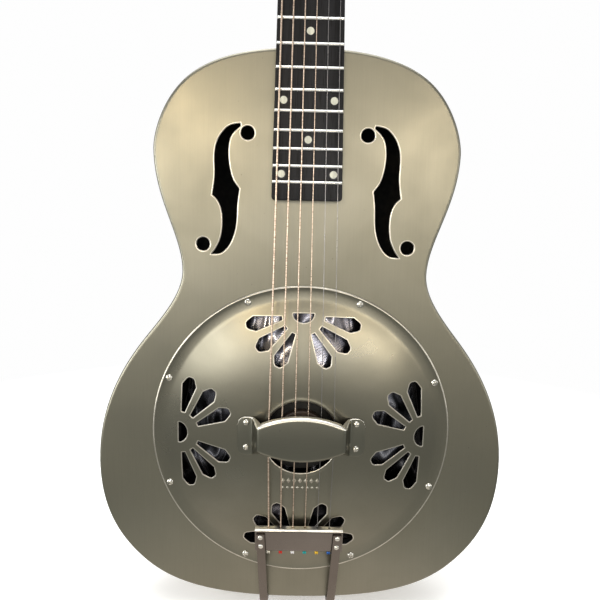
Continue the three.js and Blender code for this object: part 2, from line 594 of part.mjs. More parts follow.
function neck() {
  const shaft = loft(NECK_DEPTHS.map(([z, depth, bottom]) => neckRing(z, depth, bottom)));
  const head = inHead(plate(headOutline(), 0, HEAD_THICKNESS));
  const ahead = inHead(box(-60, 60, -40, 0, 0, 200));
  const body = inNeck(box(-100, 100, TOP_Y - GAP, 60, 400, BODY_TOP_S + SADDLE_Z + GAP));
  const channel = box(-3.2, 3.2, BOARD_THICKNESS - 2, ROD_DEPTH + 3.2, 335, HEAD_START + 4);
  const pocket = box(-5.5, 5.5, BOARD_THICKNESS - 2, ROD_DEPTH + 5.5, HEAD_START, HEAD_START + 26);
  const bore = ({ side, z }) => inHead(rod('y', POST_BORE, -5, 30, 12, [side * POST_X, z]));
  const bores = postPlaces.map(bore);
  const buttonHole = rod('y', 2.4, 50, 90, 10, [0, HEEL_FACE + 11]);
  return cut(join([shaft, neckTongue(), head]), [ahead, body, channel, pocket, ...bores, buttonHole]);
}
addPiece(neckGroup, 'neck', neck(), MAHOGANY);

function fretboard() {
  const low = boardHalfWidth(BOARD_END);
  const corner = 3;
  const right = [[low - corner, BOARD_END], [low, BOARD_END + corner],
    [BOARD_NUT_HALF_WIDTH, SCALE_LENGTH]];
  const left = right.map(([x, z]) => [-x, z]).reverse();
  return plate(new THREE.Shape([...right, ...left].map(v2)), 0, BOARD_THICKNESS);
}
addPiece(neckGroup, 'fretboard', fretboard(), EBONY);

const NUT_TOP = -1;
addPiece(neckGroup, 'nut', box(-BOARD_NUT_HALF_WIDTH, BOARD_NUT_HALF_WIDTH, NUT_TOP, BOARD_THICKNESS,
  SCALE_LENGTH + GAP, SCALE_LENGTH + NUT_THICKNESS), BONE);

addPiece(neckGroup, 'truss_rod', rod('z', ROD_RADIUS, 336, NUT_START + 9, 12, [0, ROD_DEPTH]), STEEL);
const rodNut = cut(rod('z', 4, NUT_START, NUT_START + 11, 6, [0, ROD_DEPTH]),
  [rod('z', ROD_RADIUS + GAP, NUT_START - 2, NUT_START + 9.5, 12, [0, ROD_DEPTH])]);
addPiece(neckGroup, 'truss_rod_nut', rodNut, BRASS);

const heelButton = new THREE.LatheGeometry(BUTTON_PROFILE.map(v2), 16);
heelButton.rotateX(Math.PI).translate(0, 0, HEEL_FACE + 11);
const HEEL_BUTTON_FACE = 88;
addPiece(neckGroup, 'heel_button', heelButton.translate(0, HEEL_BUTTON_FACE, 0), BRIGHT_NICKEL);

// ---------- headstock ----------
const VENEER_FRONT = -1.5;

function headstockFace() {
  const bores = postPlaces.map(({ side, z }) => rod('y', POST_BORE, -5, 5, 12, [side * POST_X, z]));
  const pocket = box(-5.5, 5.5, -5, 5, 1.5, 26);
  return cut(plate(headOutline(), VENEER_FRONT, -GAP), [...bores, pocket, box(-60, 60, -5, 5, -5, 0.8)]);
}
addPiece(headGroup, 'headstock_face', headstockFace(), BLACK_LACQUER);

function trussRodCover() {
  const shape = new THREE.Shape();
  shape.moveTo(-10, 1.2).lineTo(10, 1.2);
  shape.quadraticCurveTo(10, 22, 0, 34).quadraticCurveTo(-10, 22, -10, 1.2);
  return plate(shape, VENEER_FRONT - GAP - 1.6, VENEER_FRONT - GAP);
}
addPiece(headGroup, 'truss_rod_cover', trussRodCover(), BLACK_LACQUER);

// ---------- tuners ----------
const PLATE_FRONT = HEAD_THICKNESS + GAP;
const PLATE_SHEET = 1.2;
const GEAR_FRONT = PLATE_FRONT + PLATE_SHEET + 0.4;
const GEAR_BACK = GEAR_FRONT + 4;
const EARS = [[14.3, 15.7], [28.6, 30]];
const PLATE_INNER = 13.5;
const PLATE_OUTER = 30.5;
const POST_NECK_RADIUS = 2.2;
const KEY_RADIUS = 1.6;
const WORM_RADIUS = 2.3;
const BUTTON_START = 46;
const BUTTON_LENGTH = 15;

function tunerPlate(side) {
  const base = box(PLATE_INNER, PLATE_OUTER, PLATE_FRONT, PLATE_FRONT + PLATE_SHEET,
    POST_STEPS[0] - 18, POST_STEPS[2] + 14);
  const pieces = [base];
  const holes = [];
  for (const z of POST_STEPS) {
    const axis = [WORM_DEPTH, z - WORM_DROP];
    holes.push(rod('y', POST_NECK_RADIUS + GAP, 0, 30, 10, [POST_X, z]));
    holes.push(rod('x', KEY_RADIUS + GAP, 0, 40, 10, axis));
    for (const [x0, x1] of EARS) {
      pieces.push(box(x0, x1, PLATE_FRONT + 0.2, WORM_DEPTH + 2, axis[1] - 3.5, axis[1] + 3.5));
      pieces.push(rod('x', 3.5, x0, x1, 10, axis));
    }
  }
  return cut(join(pieces), holes).scale(side, 1, 1);
}
addPiece(headGroup, 'tuner_plate_left', tunerPlate(-1), BRIGHT_NICKEL);
addPiece(headGroup, 'tuner_plate_right', tunerPlate(1), BRIGHT_NICKEL);

function tunerKey(side, z) {
  const axis = [WORM_DEPTH, z - WORM_DROP];
  const shaft = rod('x', KEY_RADIUS, 13.4, BUTTON_START + 2, 10, axis);
  const worm = rod('x', WORM_RADIUS, EARS[0][1] + 0.6, EARS[1][0] - 0.6, 12, axis);
  const collar = rod('x', 2.6, EARS[1][1] + 0.5, EARS[1][1] + 3, 12, axis);
  const outline = new THREE.Shape();
  outline.absellipse(BUTTON_START + BUTTON_LENGTH / 2, axis[1], BUTTON_LENGTH / 2, 7.6, 0, 2 * Math.PI);
  const edge = { bevelThickness: 1.2, bevelSize: 1.2, bevelOffset: -1.2, bevelSegments: 1 };
  const button = new THREE.ExtrudeGeometry(outline, { depth: 3, curveSegments: 7, ...edge });
  button.rotateX(Math.PI / 2).translate(0, axis[0] + 1.5, 0);
  return join([shaft, worm, collar, button]).scale(side, 1, 1);
}

function tunerGear(side, z) {
  const ring = [];
  for (let tooth = 0; tooth < GEAR_TEETH; tooth += 1) {
    for (const [share, radius] of [[0.1, GEAR_RADIUS], [0.4, GEAR_RADIUS], [0.55, 4.9], [0.95, 4.9]]) {
      const turn = (2 * Math.PI * (tooth + share)) / GEAR_TEETH;
      ring.push(v2([radius * Math.cos(turn) + side * POST_X, radius * Math.sin(turn) + z]));
    }
  }
  const shape = new THREE.Shape(ring);
  const blank = plate(shape, GEAR_FRONT, GEAR_BACK);
  return cut(blank, [rod('y', POST_NECK_RADIUS + GAP, 0, 40, 12, [side * POST_X, z])]);
}

function tunerPost(side, z) {
  const shoulder = PLATE_FRONT - GAP;
  const end = GEAR_BACK + 0.6;
  const profile = [[0, -16.5], [POST_RADIUS - 0.5, -16.5], [POST_RADIUS, -15.8],
    [POST_RADIUS, shoulder], [POST_NECK_RADIUS, shoulder], [POST_NECK_RADIUS, end], [0, end]];
  return new THREE.LatheGeometry(profile.map(v2), 12).translate(side * POST_X, 0, z);
}

for (const { number, side, z } of postPlaces) {
  addPiece(headGroup, `tuner_key_${number}`, tunerKey(side, z), BRIGHT_NICKEL);
  addPiece(headGroup, `tuner_gear_${number}`, tunerGear(side, z), BRASS);
  addPiece(headGroup, `tuner_post_${number}`, tunerPost(side, z), BRIGHT_NICKEL);
}

// ---------- strings ----------
// From the ball behind the anchor's lower lip, through the upper lip, over the saddle and the nut,
// to the inner side of its own post.
const WRAP_HEIGHT = 7;              // where the string meets the post, ahead of the headstock's face
function stringPiece({ number, side, z }) {
  const radius = STRING_RADII[number - 1];
  const anchorX = stringX(number, ANCHOR_SPREAD);
  const onBody = (x, s, h) => v3(x, TOP_Y - h, s + SADDLE_Z);
  const ball = onBody(anchorX, ANCHOR_LOW_S - 1.4 - BALL_RADIUS, BALL_H);
  const saddleX = stringX(number, SADDLE_SPREAD);
  const nutX = stringX(number, NUT_SPREAD);
  const lift = radius + GAP;
  const postClear = POST_RADIUS + lift + 0.2;
  const nut = [SCALE_LENGTH + 0.5, SCALE_LENGTH + NUT_THICKNESS].map((along) =>
    v3(nutX, NUT_TOP - lift, along).applyMatrix4(neckGroup.matrixWorld));
  const post = v3(side * (POST_X - postClear), -WRAP_HEIGHT, z + 1).applyMatrix4(headGroup.matrixWorld);
  const path = [ball, onBody(anchorX, ANCHOR_LOW_S + 2.5, BALL_H),
    onBody(anchorX, ANCHOR_TOP_S - 2, LIP_HOLE_H), onBody(anchorX, ANCHOR_TOP_S + 3, LIP_HOLE_H),
    onBody(saddleX, -2, SADDLE_TOP + lift), onBody(saddleX, 2, SADDLE_TOP + lift), ...nut, post];
  const ballShape = new THREE.SphereGeometry(BALL_RADIUS, 8, 6).translate(...ball);
  return join([bar(path, radius, 6), ballShape]);
}
for (const place of postPlaces) {
  const wound = place.number >= 3;
  addPiece(guitar, `string_${place.number}`, stringPiece(place), wound ? BRONZE : STEEL);
}

export default guitar;
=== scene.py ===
"""A metal-bodied resonator guitar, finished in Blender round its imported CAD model.

Shapes are drawn in millimetres and turned into metres as each piece is made. Most of them use one of
three sets of axes: FRONT (x across, y up the neck from the saddle, z out of the body's front), NECK
(x across, y back from the fretboard's face, z up the neck from the saddle) and HEAD (the same as NECK,
but on the tilted headstock). On the body, s is the height above the saddle and h is out of the front."""
import math
import random

import bmesh
import bpy
import numpy as np
from mathutils import Matrix, Vector
from mathutils.geometry import delaunay_2d_cdt


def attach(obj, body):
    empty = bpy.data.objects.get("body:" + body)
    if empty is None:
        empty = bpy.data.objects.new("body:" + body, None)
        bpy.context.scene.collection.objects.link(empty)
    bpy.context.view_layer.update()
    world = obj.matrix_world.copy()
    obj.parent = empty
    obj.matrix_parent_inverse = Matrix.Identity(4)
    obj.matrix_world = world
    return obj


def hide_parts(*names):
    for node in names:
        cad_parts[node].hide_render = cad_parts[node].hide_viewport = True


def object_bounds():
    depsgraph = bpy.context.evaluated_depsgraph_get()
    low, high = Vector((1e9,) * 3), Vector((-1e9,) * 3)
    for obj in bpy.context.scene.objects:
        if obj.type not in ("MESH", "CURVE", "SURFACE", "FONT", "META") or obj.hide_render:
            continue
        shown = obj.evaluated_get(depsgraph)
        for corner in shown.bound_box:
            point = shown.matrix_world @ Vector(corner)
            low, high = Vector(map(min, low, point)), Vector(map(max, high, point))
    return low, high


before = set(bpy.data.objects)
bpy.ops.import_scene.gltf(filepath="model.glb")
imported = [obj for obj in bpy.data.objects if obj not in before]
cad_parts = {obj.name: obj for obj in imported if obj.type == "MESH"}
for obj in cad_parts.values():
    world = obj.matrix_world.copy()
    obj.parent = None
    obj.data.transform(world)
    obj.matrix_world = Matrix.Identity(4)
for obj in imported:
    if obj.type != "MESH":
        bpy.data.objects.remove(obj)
cad_box = [list(corner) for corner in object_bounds()]

# ---------- driving dimensions, as in the CAD model ----------
MM = 0.001
SCALE_LENGTH = 635
SADDLE_Z = 167
TOP_Y = -41
BACK_Y = 41
SHEET = 1

BODY_START = (0, 317.5)
BODY_CURVES = [
    ((42.9, 317.5), (76.4, 310.7), (96.9, 293.7)),
    ((117.4, 276.7), (124.9, 249.3), (124.9, 237.1)),
    ((124.9, 196.1), (102, 167.3), (102, 138.5)),
    ((102, 121.9), (114.4, 105), (127.8, 88.2)),
    ((141.1, 71.5), (174.9, 31.9), (174.9, -30.1)),
    ((174.9, -69.3), (162.6, -96.1), (140.8, -117.7)),
    ((119, -139.4), (87.6, -156), (0, -156)),
]
BODY_TOP_S = BODY_START[1]
BODY_TAIL_S = -156
BODY_EDGE = 2.6                 # radius where the front turns into the side
BACK_CROWN = 1.5

F_HOLE_EDGES = [
    [(54.8, 258), (63.5, 255.8), (69.8, 249.5), (73.8, 241.5), (75.2, 232), (75, 216), (77, 201)],
    [(77, 201), (72.6, 196.8), (69.4, 189), (68.6, 178), (70, 166.5), (73.8, 157.8), (77.6, 152.6)],
    [(77.6, 152.6), (69.7, 153.7), (63.2, 160), (59, 169.5), (57.1, 180), (56.4, 195), (54.9, 206)],
    [(54.9, 206), (60, 213.5), (63, 224), (64, 236), (62.6, 246), (59.4, 251.4), (54.9, 255.4)],
    [(54.9, 255.4), (54.2, 256.6), (54.8, 258)],
]
F_DOTS = [(48.5, 250.6), (84.4, 160.8)]
F_DOT_RADIUS = 5.5

COVER_RADIUS = 128
COVER_SCREW_CIRCLE = 122.5
COVER_SCREW_COUNT = 8
COVER_OPENING = 31.5
COVER_RIM_TOP = 1.3
DOME_FOOT_RADIUS = 117
DOME_TOP_HEIGHT = 12.6
DOME_FOOT_EASE = 0.3
WELL_OPENING = 119.2
SHADED_CONE_RADIUS = 34            # the cone is painted in the near-black inside colour within this: painted shade under the opening

FAN_CHORD_RADIUS = 105
FAN_D_HALF_WIDTH = 9
FAN_D_DEPTH = 7.8
PETAL_ANGLES = [12.9, 38.6, 64.3, 115.7, 141.4, 167.1]
PETAL_OUTLINE = [(18.5, 1.5), (42, 6.15), (47.6, 3.4), (49, 1.8)]

BISCUIT_RADIUS = 22
SADDLE_TOP = 25
SADDLE_HALF_LENGTH = 30

STRING_RADII = [0.21, 0.24, 0.35, 0.47, 0.58, 0.71]
NUT_SPREAD = 36.8
SADDLE_SPREAD = 54
ANCHOR_SPREAD = 52

ANCHOR_TOP_S = -80
ANCHOR_LOW_S = -100.5
ANCHOR_TOP_H = 21
TAIL_SLOPE = 0.213
ANCHOR_HALF_WIDTH = 37.5
LEG_HALF_WIDTH = 3.6
LEG_X_TOP = 33
LEG_X_TAIL = 29.6

BOARD_SLOPE = 0.034
BOARD_HEIGHT = 19.8
BOARD_THICKNESS = 6
BOARD_END = 197.8
BOARD_NUT_HALF_WIDTH = 21.5
BOARD_TAPER = 0.01545
FRET_COUNT = 19
FRET_RADIUS = 1.15

HEAD_TILT = math.radians(14)
HEAD_START = 641
HEAD_THICKNESS = 15


def about_x(angle):
    return Matrix.Rotation(angle, 4, "X")


FRONT = Matrix(((1, 0, 0, 0), (0, 0, -1, TOP_Y), (0, 1, 0, SADDLE_Z), (0, 0, 0, 1)))
NECK = Matrix.Translation((0, TOP_Y - BOARD_HEIGHT, SADDLE_Z)) @ about_x(-math.atan(BOARD_SLOPE))
HEAD = NECK @ Matrix.Translation((0, BOARD_THICKNESS, HEAD_START)) @ about_x(-HEAD_TILT)

ACROSS = Matrix(((0, 0, 1, 0), (0, 1, 0, 0), (-1, 0, 0, 0), (0, 0, 0, 1)))      # turns z into x
BEHIND = Matrix(((1, 0, 0, 0), (0, 0, 1, 0), (0, -1, 0, 0), (0, 0, 0, 1)))      # turns z into y
UPRIGHT = Matrix(((1, 0, 0, 0), (0, 0, -1, 0), (0, 1, 0, 0), (0, 0, 0, 1)))     # turns y into z
OVER = about_x(math.pi)                                                         # turns z into -z
random.seed(7)


def on_front(x, s, h):
    return FRONT @ Matrix.Translation((x, s, h))


def on_head(x, y, z):
    return HEAD @ Matrix.Translation((x, y, z))


# ---------- curves and outlines ----------
def bezier(a, b, c, d, t):
    u = 1 - t
    return a * u ** 3 + b * 3 * u * u * t + c * 3 * u * t * t + d * t ** 3


def body_outline(per_curve):
    """The body's outline, anticlockwise, starting at the middle of its tail end."""
    half = []
    start = Vector(BODY_START)
    for a, b, end in BODY_CURVES:
        a, b, end = Vector(a), Vector(b), Vector(end)
        half += [bezier(start, a, b, end, i / per_curve) for i in range(per_curve)]
        start = end
    right = [Vector((0, BODY_TAIL_S))] + half[:0:-1]
    return right + [Vector(BODY_START)] + mirrored(half[1:])


def spline(points, steps, ends=False):
    """A smooth line through the points, with its last point if ends is set."""
    points = [Vector(p) for p in points]
    out = []
    last = len(points) - 1
    for i in range(last):
        p0, p1, p2, p3 = (points[min(max(k, 0), last)] for k in range(i - 1, i + 3))
        for k in range(steps):
            t = k / steps
            bend = (p2 - p0) * 0.5
            leave = (p3 - p1) * 0.5
            out.append(p1 + bend * t + (3 * (p2 - p1) - 2 * bend - leave) * t * t
                       + (2 * (p1 - p2) + bend + leave) * t ** 3)
    return out + points[-1:] if ends else out


def circle(x, y, radius, count):
    return [Vector((x + radius * math.cos(2 * math.pi * i / count),
                    y + radius * math.sin(2 * math.pi * i / count))) for i in range(count)]


def anticlockwise(loop):
    area = sum(a.x * b.y - b.x * a.y for a, b in zip(loop, loop[1:] + loop[:1]))
    return loop if area > 0 else loop[::-1]


def offset(loop, distance):
    """An anticlockwise loop moved outward; its sharp corners are kept short."""
    out = []
    for i, point in enumerate(loop):
        before = (point - loop[i - 1]).normalized()
        after = (loop[(i + 1) % len(loop)] - point).normalized()
        along = (before + after).normalized()
        normal = Vector((along.y, -along.x))
        stretch = 1 / max(normal.dot(Vector((before.y, -before.x))), 0.6)
        out.append(point + normal * distance * stretch)
    return out


def finer(loop, step):
    """A closed loop with no side longer than step."""
    out = []
    for a, b in zip(loop, loop[1:] + loop[:1]):
        count = max(1, math.ceil((b - a).length / step))
        out += [a.lerp(b, i / count) for i in range(count)]
    return out


def bend(before, corner, after, radius, share, steps):
    """A corner's rounding, which takes up no more than a share of the sides beside it."""
    back, ahead = before - corner, after - corner
    reach = min(radius, back.length * share, ahead.length * share)
    a = corner + back.normalized() * reach
    b = corner + ahead.normalized() * reach
    return [a.lerp(corner, t).lerp(corner.lerp(b, t), t) for t in (k / steps for k in range(steps + 1))]


def rounded_corners(loop, radius, steps=4):
    out = []
    for i, point in enumerate(loop):
        out += bend(loop[i - 1], point, loop[(i + 1) % len(loop)], radius, 0.45, steps)
    return out


def rounded_line(line, radius, steps=5):
    out = [line[0]]
    for i in range(1, len(line) - 1):
        out += bend(*line[i - 1:i + 2], radius, 0.48, steps)
    return out + [line[-1]]


def quarter_turn(steps):
    return [k / steps * math.pi / 2 for k in range(steps + 1)]


def direction(line, i):
    """Which way an open line runs at one of its points."""
    return (line[min(i + 1, len(line) - 1)] - line[max(i - 1, 0)]).normalized()


def vectors(*places):
    return [Vector(place) for place in places]


def rectangle(x0, x1, y0, y1):
    return vectors((x0, y0), (x1, y0), (x1, y1), (x0, y1))


def mirrored(loop):
    return [Vector((-p.x, p.y)) for p in loop]


def inside(points, loop):
    """Which of the points (an array) lie within the loop."""
    x, y = points[:, 0], points[:, 1]
    hit = np.zeros(len(points), bool)
    for a, b in zip(loop, loop[1:] + loop[:1]):
        if a.y != b.y:
            edge_x = (b.x - a.x) * (y - a.y) / (b.y - a.y) + a.x
            hit ^= ((a.y > y) != (b.y > y)) & (x < edge_x)
    return hit


# ---------- building meshes ----------
SHARP_DEGREES = 35              # edges that bend more than this look sharp


class Shape:
    """Points in millimetres and faces, gathered for one piece. A face's mark picks its material."""

    def __init__(self):
        self.points = []
        self.faces = []
        self.marks = []

    def add(self, points, faces, place=None, mark=0):
        start = len(self.points)
        place = place or Matrix.Identity(4)
        self.points += [place @ Vector(p) for p in points]
        self.faces += [tuple(start + i for i in face) for face in faces]
        self.marks += [mark] * len(faces)
        return self

    def part(self, made, place=None, mark=0):
        return self.add(made[0], made[1], place, mark)

    def moved(self, place):
        self.points = [place @ p for p in self.points]
        return self


def skin(rings, around=True, caps=True, flip=False):
    """A surface through rings of equal counts, closed round them and at both ends if asked."""
    count = len(rings[0])
    points = [p for ring in rings for p in ring]
    faces = []
    for r in range(len(rings) - 1):
        for i in range(count if around else count - 1):
            a, b = r * count + i, r * count + (i + 1) % count
            faces.append((a, b, b + count, a + count))
    if caps:
        faces.append(tuple(range(count))[::-1])
        faces.append(tuple(range(len(points) - count, len(points))))
    if flip:
        faces = [face[::-1] for face in faces]
    return points, faces


def turned(profile, segments=48):
    """A turned piece about z. Its profile is (radius, height); points on the axis are shared."""
    points = []
    rows = []
    for radius, height in profile:
        if radius < 1e-6:
            rows.append([len(points)] * segments)
            points.append(Vector((0, 0, height)))
            continue
        rows.append(list(range(len(points), len(points) + segments)))
        for i in range(segments):
            turn = 2 * math.pi * i / segments
            points.append(Vector((radius * math.cos(turn), radius * math.sin(turn), height)))
    faces = []
    for low, high in zip(rows, rows[1:]):
        for i in range(segments):
            k = (i + 1) % segments
            face = []
            for index in (low[i], low[k], high[k], high[i]):
                if index not in face:
                    face.append(index)
            if len(face) > 2:
                faces.append(tuple(face))
    return points, faces


def plug(radius, low, high, segments):
    return turned([(0, low), (radius, low), (radius, high), (0, high)], segments)


def prism(loop, low, high, edge=0.0, steps=3):
    """An upright plate from z low to z high, with rounded edges."""
    turns = quarter_turn(steps) if edge else [math.pi / 2]
    bottom = [(edge * (1 - math.sin(a)), low + edge * (1 - math.cos(a))) for a in turns]
    top = [(edge * (1 - math.sin(a)), high - edge * (1 - math.cos(a))) for a in reversed(turns)]
    return skin([[Vector((p.x, p.y, z)) for p in offset(loop, -inset)] for inset, z in bottom + top])


def tube(path, radius, sides):
    """A round tube along a path."""
    side = direction(path, 0).orthogonal().normalized()
    rings = []
    for i, point in enumerate(path):
        along = direction(path, i)
        side = (side - along * side.dot(along)).normalized()
        up = along.cross(side)
        turns = [2 * math.pi * k / sides for k in range(sides)]
        rings.append([point + (side * math.cos(turn) + up * math.sin(turn)) * radius for turn in turns])
    return skin(rings)


def sweep_across(line, thickness, x0, x1, edge=0.3):
    """A bent sheet: a side line of (depth y, height z) points with a thickness, carried across x."""
    near, far = [], []
    for i, point in enumerate(line):
        along = direction(line, i)
        normal = Vector((-along.y, along.x)) * thickness / 2
        near.append(point + normal)
        far.append(point - normal)
    loop = anticlockwise(near + far[::-1])
    steps = [(0, edge), (edge * 0.3, edge * 0.3), (edge, 0)]
    places = [(x0 + a, b) for a, b in steps] + [(x1 - a, b) for a, b in reversed(steps)]
    rings = [[Vector((x, p.x, p.y)) for p in offset(loop, -inset)] for x, inset in places]
    return skin(rings)


def pierced_sheet(outer, holes, surface, thickness, edge, rim, fill=()):
    """A sheet with holes. surface(x, y) is the height of its upper side, edge the rounding round the
    holes and rim the rounding of its outside. Marks: 0 its upper side, 1 its underside, 2 its cut edges."""
    loops = [(outer, -1, rim)] + [(hole, 1, edge) for hole in holes]
    borders = [offset(loop, side * (size + 0.5)) for loop, side, size in loops]
    flat = [p for border in borders for p in border]
    bounds = []
    for border in borders:
        start = len(bounds)
        bounds += [(start + i, start + (i + 1) % len(border)) for i in range(len(border))]
    if len(fill):
        spots = np.array([tuple(p) for p in fill])
        keep = inside(spots, offset(borders[0], -0.8))
        for border in borders[1:]:
            keep &= ~inside(spots, offset(border, 0.8))
        flat += [Vector(p) for p in spots[keep]]
    found = delaunay_2d_cdt(flat, bounds, [], 0, 1e-5)
    corners = [Vector(p) for p in found[0]]
    centres = np.array([tuple(sum((corners[i] for i in face), Vector((0, 0))) / 3) for face in found[2]])
    keep = inside(centres, borders[0])
    for border in borders[1:]:
        keep &= ~inside(centres, border)
    faces = [tuple(face) for face, kept in zip(found[2], keep) if kept]
    sheet = Shape()
    sheet.add([(p.x, p.y, surface(p.x, p.y)) for p in corners], faces)
    sheet.add([(p.x, p.y, surface(p.x, p.y) - thickness) for p in corners], [f[::-1] for f in faces], mark=1)

    def ring(loop, move, drop):
        return [Vector((p.x, p.y, surface(p.x, p.y) - drop)) for p in offset(loop, move)]

    for (loop, side, size), border in zip(loops, borders):
        steps = 6 if size > 2 else 3
        rings = [ring(border, 0, 0)]
        for turn in quarter_turn(steps):
            rings.append(ring(loop, side * size * (1 - math.sin(turn)), size * (1 - math.cos(turn))))
        low = [ring(loop, 0, thickness)] if size <= thickness else [
            ring(loop, side * thickness, size), ring(loop, side * size, thickness)]
        sheet.part(skin(rings + low[:1], caps=False, flip=side < 0), mark=0 if size > 2 else 2)
        sheet.part(skin(low + [ring(border, 0, thickness)], caps=False, flip=side < 0), mark=1)
    return sheet


def make(name, shape, materials, body="guitar", replaces=(), sharp=SHARP_DEGREES, outward=False):
    """Turns a shape into a piece: in metres, shaded smooth up to the sharp angle, riding its body."""
    mesh = bpy.data.meshes.new(name)
    mesh.from_pydata([tuple(p * MM) for p in shape.points], [], shape.faces)
    for material in materials if isinstance(materials, list) else [materials]:
        mesh.materials.append(material)
    mesh.polygons.foreach_set("material_index", shape.marks)
    work = bmesh.new()
    work.from_mesh(mesh)
    bmesh.ops.remove_doubles(work, verts=work.verts, dist=1e-6)
    bmesh.ops.dissolve_degenerate(work, edges=work.edges, dist=1e-7)
    if outward:
        bmesh.ops.recalc_face_normals(work, faces=work.faces)
    work.to_mesh(mesh)
    work.free()
    mesh.shade_smooth()
    mesh.set_sharp_from_angle(angle=math.radians(sharp))
    piece = bpy.data.objects.new(name, mesh)
    bpy.context.scene.collection.objects.link(piece)
    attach(piece, body)
    if replaces:
        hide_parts(*replaces)
    return piece


def one(made, place=None):
    return Shape().part(made, place)


# ---------- materials ----------
class Finish:
    """A material and the short calls that build its nodes."""

    def __init__(self, name, color, roughness, metallic=0.0, coat=0.0):
        self.material = bpy.data.materials.new(name)
        self.material.use_nodes = True
        self.tree = self.material.node_tree
        self.shader = self.tree.nodes["Principled BSDF"]
        self.shader.inputs["Base Color"].default_value = (*color, 1)
        self.shader.inputs["Roughness"].default_value = roughness
        self.shader.inputs["Metallic"].default_value = metallic
        if coat:
            self.shader.inputs["Coat Weight"].default_value = coat
            self.shader.inputs["Coat Roughness"].default_value = 0.12
        self.where = self.tree.nodes.new("ShaderNodeTexCoord").outputs["Object"]
        self.height = None

    def link(self, out, into):
        self.tree.links.new(out, into)

    def stretched(self, stretch):
        mapping = self.tree.nodes.new("ShaderNodeMapping")
        mapping.inputs["Scale"].default_value = stretch
        self.link(self.where, mapping.inputs["Vector"])
        return mapping.outputs["Vector"]

    def noise(self, scale, stretch=(1, 1, 1), detail=4, distortion=0.0):
        node = self.tree.nodes.new("ShaderNodeTexNoise")
        node.inputs["Scale"].default_value = scale
        node.inputs["Detail"].default_value = detail
        node.inputs["Distortion"].default_value = distortion
        self.link(self.stretched(stretch), node.inputs["Vector"])
        return node.outputs["Fac"]

    def rings(self, centre_z, scale):
        """Waves in circles round the saddle's axis."""
        mapping = self.tree.nodes.new("ShaderNodeMapping")
        mapping.inputs["Location"].default_value = (0, 0, -centre_z)
        mapping.inputs["Scale"].default_value = (1, 0, 1)
        self.link(self.where, mapping.inputs["Vector"])
        node = self.tree.nodes.new("ShaderNodeTexWave")
        node.wave_type = "RINGS"
        node.rings_direction = "SPHERICAL"
        node.inputs["Scale"].default_value = scale
        node.inputs["Distortion"].default_value = 0.6
        self.link(mapping.outputs["Vector"], node.inputs["Vector"])
        return node.outputs["Fac"]

    def span(self, value, low, high, start=0.3, end=0.7):
        node = self.tree.nodes.new("ShaderNodeMapRange")
        node.inputs["From Min"].default_value = start
        node.inputs["From Max"].default_value = end
        node.inputs["To Min"].default_value = low
        node.inputs["To Max"].default_value = high
        self.link(value, node.inputs["Value"])
        return node.outputs["Result"]

    def colors(self, value, stops):
        node = self.tree.nodes.new("ShaderNodeValToRGB")
        ramp = node.color_ramp
        while len(ramp.elements) < len(stops):
            ramp.elements.new(0.5)
        for element, (place, color) in zip(ramp.elements, stops):
            element.position = place
            element.color = (*color, 1)
        self.link(value, node.inputs["Fac"])
        return node.outputs["Color"]

    def multiplied(self, a, b):
        node = self.tree.nodes.new("ShaderNodeMix")
        node.data_type = "RGBA"
        node.blend_type = "MULTIPLY"
        node.inputs[0].default_value = 1
        self.link(a, node.inputs[6])
        self.link(b, node.inputs[7])
        return node.outputs[2]

    def paint(self, color):
        self.link(color, self.shader.inputs["Base Color"])

    def rough(self, value):
        self.link(value, self.shader.inputs["Roughness"])

    def bump(self, value, distance):
        """Each call lays another relief over those before it. distance is in millimetres."""
        node = self.tree.nodes.new("ShaderNodeBump")
        node.inputs["Strength"].default_value = 1
        node.inputs["Distance"].default_value = distance * MM
        self.link(value, node.inputs["Height"])
        if self.height:
            self.link(self.height, node.inputs["Normal"])
        self.height = node.outputs["Normal"]
        self.link(self.height, self.shader.inputs["Normal"])


def aged_nickel(name, light, dark, roughness, grain):
    """Brushed nickel gone dull: fine grain, cloudy tarnish and a few specks."""
    finish = Finish(name, light, roughness, metallic=1)
    cloud = finish.noise(14, detail=6, distortion=0.4)
    brushed = finish.noise(1500, stretch=grain, detail=3)
    speck = finish.noise(420, detail=1)
    base = finish.colors(cloud, [(0.3, dark), (0.7, light)])
    streak = finish.colors(brushed, [(0.25, (0.95, 0.95, 0.95)), (0.75, (1, 1, 1))])
    spots = finish.colors(finish.span(speck, 1.0, 0.7, 0.78, 0.84), [(0, (0, 0, 0)), (1, (1, 1, 1))])
    finish.paint(finish.multiplied(finish.multiplied(base, streak), spots))
    finish.rough(finish.span(cloud, roughness + 0.05, roughness - 0.04))
    finish.bump(brushed, 0.0025)
    finish.bump(finish.noise(26, detail=2), 0.16)
    return finish.material


def bright_metal(name, color, roughness, mottle=0.12):
    """Polished metal, clouded by handling."""
    finish = Finish(name, color, roughness, metallic=1)
    cloud = finish.noise(90, detail=5)
    dark = tuple(c * (1 - mottle * 2) for c in color)
    finish.paint(finish.colors(cloud, [(0.35, dark), (0.6, color)]))
    finish.rough(finish.span(cloud, roughness + 0.12, roughness))
    finish.bump(finish.noise(900, detail=2), 0.003)
    return finish.material


